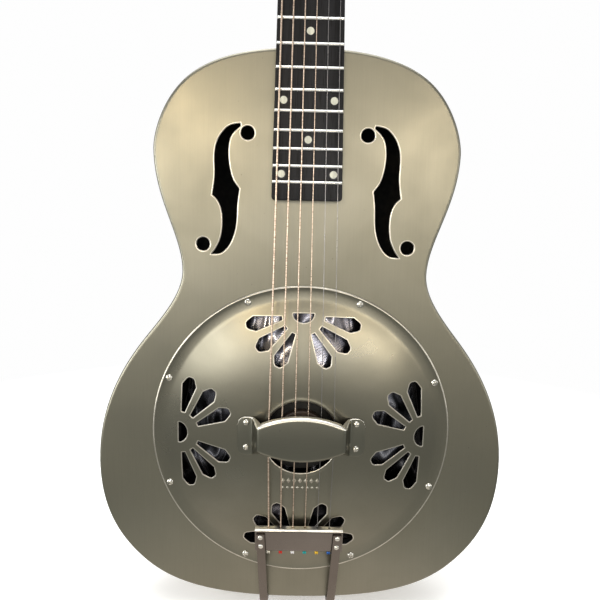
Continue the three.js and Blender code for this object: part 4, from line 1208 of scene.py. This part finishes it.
def fret_markers():
    """Dots between frets, one or two in turn, with small ones along the bass edge. A thin black ring round
    each big dot is painted shade of the gap round the inlay.
    """
    dots, gap_shade_rims = Shape(), Shape()
    for number in (3, 5, 7, 9, 12, 15, 17, 19):
        z = (fret_place(number) + fret_place(number - 1)) / 2
        pair = number in (5, 9, 15, 19)
        spread = board_half_width(z) - 7.2
        for x in (-spread, spread) if pair else (0,):
            place = NECK @ Matrix.Translation((x, 0, z)) @ BEHIND @ OVER
            dots.part(turned([(2.9, -0.3), (2.9, 0.1), (2.5, 0.2), (0, 0.22)], 32), place)
            # painted shade: a black ring where the gap round the inlay would be shaded
            gap_shade_rims.part(turned([(3.5, -0.1), (3.5, 0.04), (2.9, 0.06), (2.9, -0.1)], 32), place)
        place = NECK @ Matrix.Translation((-board_half_width(z), 3, z)) @ ACROSS @ OVER
        dots.part(turned([(1, -0.3), (1, 0.05), (0.7, 0.12), (0, 0.14)], 16), place)
    make("fret_dots", dots, PEARL, outward=True)
    make("fret_dot_gap_shade", gap_shade_rims, LACQUER, outward=True)


NUT_SLOT_Y = -1
NUT_CROWN = 0.9


def nut():
    half, top = BOARD_NUT_HALF_WIDTH - 0.1, NUT_CROWN - NUT_SLOT_Y
    loop = vectors((half, -BOARD_THICKNESS), (half, top))
    for number in range(1, 7):
        loop += slotted_edge(number, NUT_SPREAD, 0.06, top, NUT_CROWN, 0.05)
    loop += vectors((-half, top), (-half, -BOARD_THICKNESS))
    block = prism(anticlockwise(loop), -SCALE_LENGTH - 5, -SCALE_LENGTH - 0.1, 0.12, 1)
    make("nut_block", one(block, NECK @ OVER), BONE, replaces=["nut"])


# ---------- strings ----------
WIND_HEIGHT = 7                 # where on a post its string starts to wind, above the headstock's face
WIND_LEAD = 1                   # the straight string meets its post this far above the post's middle
WIND_TURNS = 4


def string_path(number, side, z):
    """From the ball end over the plate's lip, the saddle and the nut to the side of the post."""
    radius = STRING_RADII[number - 1]
    spreads = (ANCHOR_SPREAD, SADDLE_SPREAD, NUT_SPREAD)
    anchor_x, saddle_x, nut_x = (string_x(number, spread) for spread in spreads)
    crown = SADDLE_TOP + radius
    places = [(anchor_x, ANCHOR_LOW_S - 1.6, BALL_H), (anchor_x, ANCHOR_LOW_S + 2.5, BALL_H),
              (anchor_x, ANCHOR_TOP_S - 2, LIP_HOLE_H), (anchor_x, ANCHOR_TOP_S + 3, LIP_HOLE_H),
              (saddle_x, -1.5, crown), (saddle_x, 1.5, crown)]
    path = [FRONT @ Vector(place) for place in places]
    path += [NECK @ Vector((nut_x, NUT_SLOT_Y - radius, SCALE_LENGTH + past)) for past in (0.4, 4.8)]
    path.append(HEAD @ Vector((side * (POST_X - POST_RADIUS - radius), -WIND_HEIGHT, z + WIND_LEAD)))
    return rounded_line(path, 1.2, 4)


BALL_COLORS = {
    1: ("blue", (0.05, 0.16, 0.5)), 2: ("yellow", (0.75, 0.5, 0.06)), 3: ("teal", (0.03, 0.35, 0.36)),
    4: ("silver", (0.75, 0.76, 0.78)), 5: ("red", (0.6, 0.05, 0.04)), 6: ("plain", (0.7, 0.68, 0.6)),
}


def ball_end(number):
    rim = [(0.8, 1.5), (1.5, 1.5), (BALL_RADIUS, 1.1), (BALL_RADIUS, 0.5), (1.45, 0.2)]
    ball = [(r, -x) for r, x in rim] + rim[::-1] + [(0.8, -1.5)]
    spot = FRONT @ Vector((string_x(number, ANCHOR_SPREAD), ANCHOR_LOW_S - 3, BALL_H))
    color_name, color = BALL_COLORS[number]
    metal = bright_metal(f"ball_{color_name}", color, 0.3)
    make(f"string_{number}_ball", one(turned(ball, 28), Matrix.Translation(spot) @ ACROSS), metal,
         outward=True)


def winding(number, side, z):
    """Turns of string round its post, from where the straight string meets it."""
    radius = STRING_RADII[number - 1]
    reach = POST_RADIUS + radius
    path = []
    for k in range(WIND_TURNS * 20 + 1):
        angle = 2 * math.pi * k / 20
        rise = (radius * 2 + 0.08) * k / 20
        path.append(Vector((side * (POST_X - reach * math.cos(angle)), rise - WIND_HEIGHT,
                            z + reach * math.sin(angle))))
    path[0].z += WIND_LEAD
    return tube([HEAD @ p for p in path], radius, 8)


def strings():
    for number, side, z in POSTS:
        wound = number >= 3
        material = BRONZE if wound else PLAIN_STRING
        wire = tube(string_path(number, side, z), STRING_RADII[number - 1], 12)
        make(f"string_{number}_wire", one(wire), material, replaces=[f"string_{number}"])
        ball_end(number)
        make(f"string_{number}_winding", one(winding(number, side, z)), material, body=f"post_{number}")


# ---------- headstock ----------
def head_loop():
    right = [Vector((head_half_width(z), z)) for z in (0.8, 4, 8, 12, 16, 19, 60, 110, HEAD_CORNER_Z)]
    for turn in quarter_turn(6)[1:]:
        x = HEAD_HALF_WIDTH - HEAD_CORNER * (1 - math.cos(turn))
        right.append(Vector((x, HEAD_CORNER_Z + (6 + head_arch(x)) * math.sin(turn))))
    right += [Vector((x, HEAD_CORNER_Z + 6 + head_arch(x))) for x in (24, 16, 8)]
    return anticlockwise(right + [Vector((0, HEAD_CORNER_Z + 6 + head_arch(0)))] + mirrored(right)[::-1])


def headstock_face():
    cutters = Shape()
    for _, side, z in POSTS:
        cutters.part(plug(POST_BORE, -8, 8, 24), on_head(side * POST_X, 0, z) @ BEHIND)
    face = prism(finer(head_loop(), 6), 0.05, 1.5, 0.35)
    piece = make("headstock_veneer", one(face, HEAD @ UPRIGHT), LACQUER,
                 replaces=["headstock_face"])
    carve(piece, cutters)


def truss_rod_cover():
    """A bell-shaped plate with three screws."""
    right = vectors((10, 1.2), (9.8, 8), (8.4, 16), (5.6, 24), (2.6, 30.2))
    loop = anticlockwise(right + [Vector((0, 34))] + mirrored(right)[::-1])
    cover = prism(rounded_corners(loop, 2), 1.6, 3.4, 0.5)
    make("truss_rod_cover_plate", one(cover, HEAD @ UPRIGHT), LACQUER,
         replaces=["truss_rod_cover"])
    for k, (x, z) in enumerate(((-6.5, 4.6), (6.5, 4.6), (0, 27))):
        put_screw(f"truss_cover_screw_{k + 1}", on_head(x, -3.4, z) @ UPRIGHT, 1.5, 0.8)


def post_bushings():
    bush = [(3.15, -0.2), (3.15, 1.6), (3.6, 2), (5, 1.7), (5.6, 0.8), (5.7, 0), (5.7, -0.2), (3.15, -0.2)]
    for number, side, z in POSTS:
        make(f"post_bushing_{number}", one(turned(bush, 40), on_head(side * POST_X, -1.5, z) @ UPRIGHT),
             BRIGHT, outward=True)


# ---------- tuners ----------
WORM_DEPTH = 18.9
WORM_DROP = 8.6
WORM_TURNS = 6
PLATE_FRONT = HEAD_THICKNESS + 0.3
PLATE_BACK = PLATE_FRONT + 1.2
GEAR_FRONT = 16.9
GEAR_BACK = 20.9
GEAR_TEETH = 14
EAR_RADIUS = 3.5
EARS = [(14.3, 15.7), (28.6, 30)]
EAR_AXES = Matrix(((0, 0, 1, 0), (1, 0, 0, 0), (0, 1, 0, 0), (0, 0, 0, 1)))     # turns z into x and x into y


def to_side(side):
    """The identity for the right row of tuners (1), and its mirror for the left (-1)."""
    return Matrix.Scale(side, 4, Vector((1, 0, 0)))


def tuner_plate(side, word):
    """A plate with two ears for each worm shaft, bored for the shafts and the posts."""
    mirror = to_side(side)
    shape = Shape()
    loop = finer(rounded_corners(rectangle(13.5, 30.5, 24, 140), 3, 5), 8)
    shape.part(prism(loop, -PLATE_BACK, -PLATE_FRONT, 0.3), HEAD @ mirror @ UPRIGHT)
    for z in POST_HEIGHTS:
        worm_z = z - WORM_DROP
        arch = vectors((PLATE_FRONT + 0.6, worm_z - EAR_RADIUS), (WORM_DEPTH, worm_z - EAR_RADIUS))
        arch += [Vector((WORM_DEPTH + EAR_RADIUS * math.cos(t), worm_z + EAR_RADIUS * math.sin(t)))
                 for t in (-math.pi / 2 + k / 12 * math.pi for k in range(1, 12))]
        arch += vectors((WORM_DEPTH, worm_z + EAR_RADIUS), (PLATE_FRONT + 0.6, worm_z + EAR_RADIUS))
        for x0, x1 in EARS:
            shape.part(prism(arch, x0, x1, 0.25), HEAD @ mirror @ EAR_AXES)
    plate = make(f"tuner_plate_{word}_pressing", shape, BRIGHT,
                 replaces=[f"tuner_plate_{word}"], outward=True)
    cutters = Shape()
    for z in POST_HEIGHTS:
        cutters.part(plug(2.5, 8, 30, 20), on_head(side * POST_X, 0, z) @ BEHIND)
        worm = HEAD @ mirror @ Matrix.Translation((0, WORM_DEPTH, z - WORM_DROP)) @ ACROSS
        cutters.part(plug(1.9, 8, 36, 20), worm)
    carve(plate, cutters)
    for k, z in enumerate((28, 63, 105, 136)):
        place = on_head(side * POST_X, PLATE_BACK, z) @ BEHIND
        put_screw(f"tuner_plate_{word}_screw_{k + 1}", place, 2.1, 1.1)


def button():
    """A flattened oval button at the end of a worm shaft."""
    around = [2 * math.pi * i / 40 for i in range(40)]
    oval = [(2.7 * signed_power(math.cos(a), 0.8), 7.6 * signed_power(math.sin(a), 0.9)) for a in around]
    rings = []
    for k in range(13):
        turn = -math.pi / 2 + k / 12 * math.pi
        grow = math.cos(turn) ** 0.6 if 0 < k < 12 else 0.02
        rings.append([Vector((x * grow, y * grow, 53.5 + 7.4 * math.sin(turn))) for x, y in oval])
    return skin(rings)


def tuner_keys():
    """Worm shafts with a thread and a button, each drawn along z from the headstock's middle out."""
    shaft = [(0, 13.4), (1.2, 13.4), (1.6, 13.8), (1.6, 16.2), (1.75, 16.4), (1.75, 28), (1.6, 28.2),
             (1.6, 30.9), (2.4, 31), (2.6, 31.3), (2.6, 32.6), (2.3, 33), (1.6, 33.2), (1.6, 42), (2, 44.4),
             (2.7, 46), (2.9, 47.5), (0, 47.5)]
    thread = []
    for k in range(201):
        turn = k / 200 * WORM_TURNS * 2 * math.pi
        thread.append(Vector((1.95 * math.cos(turn), 1.95 * math.sin(turn), 16.6 + 11.2 * k / 200)))
    for number, side, z in POSTS:
        axis = on_head(0, WORM_DEPTH, z - WORM_DROP) @ to_side(side) @ ACROSS
        shape = Shape()
        for made in (turned(shaft, 32), tube(thread, 0.38, 8), button()):
            shape.part(made, axis)
        make(f"tuner_key_{number}_button", shape, BRIGHT, body=f"key_{number}",
             replaces=[f"tuner_key_{number}"], outward=True)


def gear_loop():
    loop = []
    for tooth in range(GEAR_TEETH):
        for share, radius in ((0.02, 5.5), (0.12, 6), (0.38, 6), (0.48, 5.5), (0.6, 4.9), (0.9, 4.9)):
            turn = 2 * math.pi * (tooth + share) / GEAR_TEETH
            loop.append(Vector((radius * math.cos(turn), radius * math.sin(turn))))
    return loop


def tuner_posts():
    """A post with a waist and a hole for its string, and the gear on its other end."""
    post = [(0, -16.3), (1.6, -16.3), (2.6, -15.9), (2.95, -15.2), (3, -14.2), (3, -9), (2.8, -8.2),
            (2.8, -3.2), (3, -2.6), (3, 15), (2.2, 15), (2.2, 21.5), (0, 21.5)]
    cap = [(0, -0.1), (3.2, -0.1), (3.2, 0.4), (2.8, 0.8), (0.5, 0.9), (0, 0.6)]
    for number, side, z in POSTS:
        foot = on_head(side * POST_X, 0, z)
        piece = make(f"tuner_post_{number}_turned", one(turned(post, 40), foot @ BEHIND), BRIGHT,
                     body=f"post_{number}", replaces=[f"tuner_post_{number}"], outward=True)
        carve(piece, one(plug(0.9, -6, 6, 16), on_head(side * POST_X, -10.6, z) @ ACROSS))
        gear = one(prism(gear_loop(), -GEAR_BACK, -GEAR_FRONT, 0.25, 2), foot @ UPRIGHT)
        gear.part(turned([(r, GEAR_BACK + h) for r, h in cap], 32), foot @ BEHIND)
        make(f"tuner_gear_{number}_toothed", gear, BRASS, body=f"post_{number}",
             replaces=[f"tuner_gear_{number}"], outward=True)


# ---------- inside pieces ----------
def refined(node, name, material, bevel, body="guitar"):
    """A CAD node's shape with its edges eased, and a finer surface."""
    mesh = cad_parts[node].data.copy()
    mesh.materials.clear()
    mesh.materials.append(material)
    piece = bpy.data.objects.new(name, mesh)
    bpy.context.scene.collection.objects.link(piece)
    work = bmesh.new()
    work.from_mesh(mesh)
    bmesh.ops.remove_doubles(work, verts=work.verts, dist=1e-6)
    bmesh.ops.dissolve_limit(work, angle_limit=math.radians(2), verts=work.verts, edges=work.edges)
    work.to_mesh(mesh)
    work.free()
    mesh.polygons.foreach_set("material_index", [0] * len(mesh.polygons))
    modifier = piece.modifiers.new("ease", "BEVEL")
    modifier.width = bevel * MM
    modifier.segments = 2
    modifier.limit_method = "ANGLE"
    modifier.angle_limit = math.radians(40)
    bpy.context.view_layer.update()
    piece.data = bpy.data.meshes.new_from_object(piece.evaluated_get(bpy.context.evaluated_depsgraph_get()))
    piece.modifiers.clear()
    piece.data.shade_smooth()
    piece.data.set_sharp_from_angle(angle=math.radians(SHARP_DEGREES))
    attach(piece, body)
    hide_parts(node)


def inside_pieces():
    refined("neck_stick", "neck_stick_wood", PINE, 1.5)
    refined("end_block", "end_block_wood", PINE, 1)
    refined("biscuit_screw", "biscuit_screw_turned", STEEL, 0.2)
    refined("truss_rod", "truss_rod_bar", STEEL, 0.2)
    refined("truss_rod_nut", "truss_rod_nut_hex", BRASS, 0.3, body="rod_nut")


# ---------- stage, lights and camera ----------
WHITE = (0.99, 0.99, 0.99, 1)


def stage():
    """A pale floor with a faint glow, which turns to a white glow away from the guitar, where the background
    is white too. Lights and mirrors see a painted pool of light instead: a glow, warm and brightest next to
    the guitar, dimmer further off.
    """
    half = 6
    low = cad_box[0][2] - 0.0006
    mesh = bpy.data.meshes.new("floor")
    corners = [(p.x, p.y, low) for p in rectangle(-half, half, -half, half)]
    mesh.from_pydata(corners, [], [(0, 1, 2, 3)])
    floor = bpy.data.objects.new("floor", mesh)
    bpy.context.scene.collection.objects.link(floor)
    finish = Finish("floor_paper", (0.86, 0.86, 0.85), 0.8)
    shade = finish.noise(3, detail=2)
    finish.paint(finish.colors(shade, [(0.3, (0.85, 0.85, 0.84)), (0.7, (0.87, 0.87, 0.865))]))
    finish.shader.inputs["Emission Color"].default_value = (1, 1, 1, 1)
    finish.shader.inputs["Emission Strength"].default_value = 0.3
    away = finish.tree.nodes.new("ShaderNodeVectorMath")
    away.operation = "LENGTH"
    finish.link(finish.where, away.inputs[0])
    distance = away.outputs["Value"]
    far = finish.tree.nodes.new("ShaderNodeEmission")
    far.inputs["Color"].default_value = WHITE
    fade = finish.tree.nodes.new("ShaderNodeMixShader")
    finish.link(finish.span(distance, 0, 1, 0.25, 0.9), fade.inputs[0])
    finish.link(finish.shader.outputs[0], fade.inputs[1])
    finish.link(far.outputs[0], fade.inputs[2])
    # painted pool of light: the floor that lights and mirrors see glows, warm and brightest by the guitar
    painted_glow_pool = finish.tree.nodes.new("ShaderNodeEmission")
    glow_tint = finish.colors(distance, [(0.1, (1, 0.92, 0.84)), (0.3, (0.96, 0.98, 0.93))])
    finish.link(glow_tint, painted_glow_pool.inputs["Color"])
    finish.link(finish.span(distance, 1.0, 0.36, 0.12, 0.34), painted_glow_pool.inputs["Strength"])
    split_by_ray(finish.tree, fade, painted_glow_pool, finish.tree.nodes["Material Output"])
    mesh.materials.append(finish.material)


def area_light(name, place, size, power, color=(1, 1, 1), target=(0, 0, 0.35)):
    light = bpy.data.lights.new(name, "AREA")
    light.shape = "RECTANGLE"
    light.size, light.size_y = size
    light.energy = power
    light.color = color
    lamp = bpy.data.objects.new(name, light)
    lamp.location = place
    lamp.rotation_euler = (Vector(target) - Vector(place)).to_track_quat("-Z", "Y").to_euler()
    bpy.context.scene.collection.objects.link(lamp)


def split_by_ray(tree, for_camera, for_others, output):
    """Joins two shaders: one that the camera sees straight on, and one that lights and mirrors see."""
    seen = tree.nodes.new("ShaderNodeLightPath")
    mix = tree.nodes.new("ShaderNodeMixShader")
    tree.links.new(seen.outputs["Is Camera Ray"], mix.inputs[0])
    tree.links.new(for_others.outputs[0], mix.inputs[1])
    tree.links.new(for_camera.outputs[0], mix.inputs[2])
    tree.links.new(mix.outputs[0], output.inputs["Surface"])


def lights():
    """Soft windows and warm lamps in front, a strip on each side, and light from above and behind."""
    area_light("front_window", (0.05, -2, 0.43), (2.2, 0.66), 9.8, (1, 0.97, 0.93))
    area_light("side_window", (-1.05, -1.9, 0.42), (0.7, 0.55), 6, (1, 0.98, 0.92))
    area_light("warm_lamp_left", (-0.47, -2, 0.72), (0.3, 0.22), 3.6, (1, 0.78, 0.45))
    area_light("warm_lamp_right", (0.55, -2, 0.7), (0.26, 0.24), 2.4, (1, 0.82, 0.55))
    area_light("far_lamp_right", (0.95, -1.9, 0.46), (0.3, 0.3), 1.8, (1, 0.85, 0.6))
    area_light("strip_left", (-1.1, -0.5, 0.25), (0.5, 1.3), 14)
    area_light("strip_right", (1.1, -0.5, 0.2), (0.5, 1.1), 4)
    area_light("ceiling", (-0.2, -0.1, 2.2), (2.4, 1.6), 44, target=(-0.1, 0, 0))
    area_light("behind", (0.3, 1.7, 1.6), (1.4, 1), 20)


def background():
    """White to the camera, and a grey room to everything else."""
    world = bpy.data.worlds.new("studio")
    bpy.context.scene.world = world
    world.use_nodes = True
    room = world.node_tree.nodes["Background"]
    room.inputs["Color"].default_value = (0.6, 0.6, 0.6, 1)
    white = world.node_tree.nodes.new("ShaderNodeBackground")
    white.inputs["Color"].default_value = WHITE
    split_by_ray(world.node_tree, white, room, world.node_tree.nodes["World Output"])
    bpy.context.scene.view_settings.view_transform = "Standard"


CAMERA_PLACE = Vector((-0.0086, -0.5194, 0.3514))
CAMERA_TARGET = Vector((-0.0034, -0.041, 0.2827))
CAMERA_ROLL = math.radians(1.31)


def camera():
    data = bpy.data.cameras.new("camera")
    data.lens = 34.61
    data.sensor_width = 36
    data.clip_start = 0.01
    view = bpy.data.objects.new("camera", data)
    turn = (CAMERA_TARGET - CAMERA_PLACE).to_track_quat("-Z", "Y").to_matrix().to_4x4()
    view.matrix_world = Matrix.Translation(CAMERA_PLACE) @ turn @ Matrix.Rotation(CAMERA_ROLL, 4, "Z")
    bpy.context.scene.collection.objects.link(view)
    bpy.context.scene.camera = view


camera()
stage()
lights()
background()
body_top()
body_side()
body_back()
cone_and_well()
biscuit_and_saddle()
coverplate()
cover_screws()
cover_ornament()
handrest()
tail_anchor()
tail_leg(-1)
tail_leg(1)
tail_hinge()
strap_button("tail_button_turned", Matrix.Identity(4), ["tail_button"])
strap_button("heel_button_turned", NECK @ Matrix.Translation((0, 88, 328.8)) @ BEHIND
             @ Matrix.Rotation(math.pi, 4, "X"), ["heel_button"])
neck()
neck_tongue()
fretboard()
frets()
fret_markers()
nut()
strings()
headstock_face()
truss_rod_cover()
post_bushings()
tuner_plate(-1, "left")
tuner_plate(1, "right")
tuner_keys()
tuner_posts()
inside_pieces()
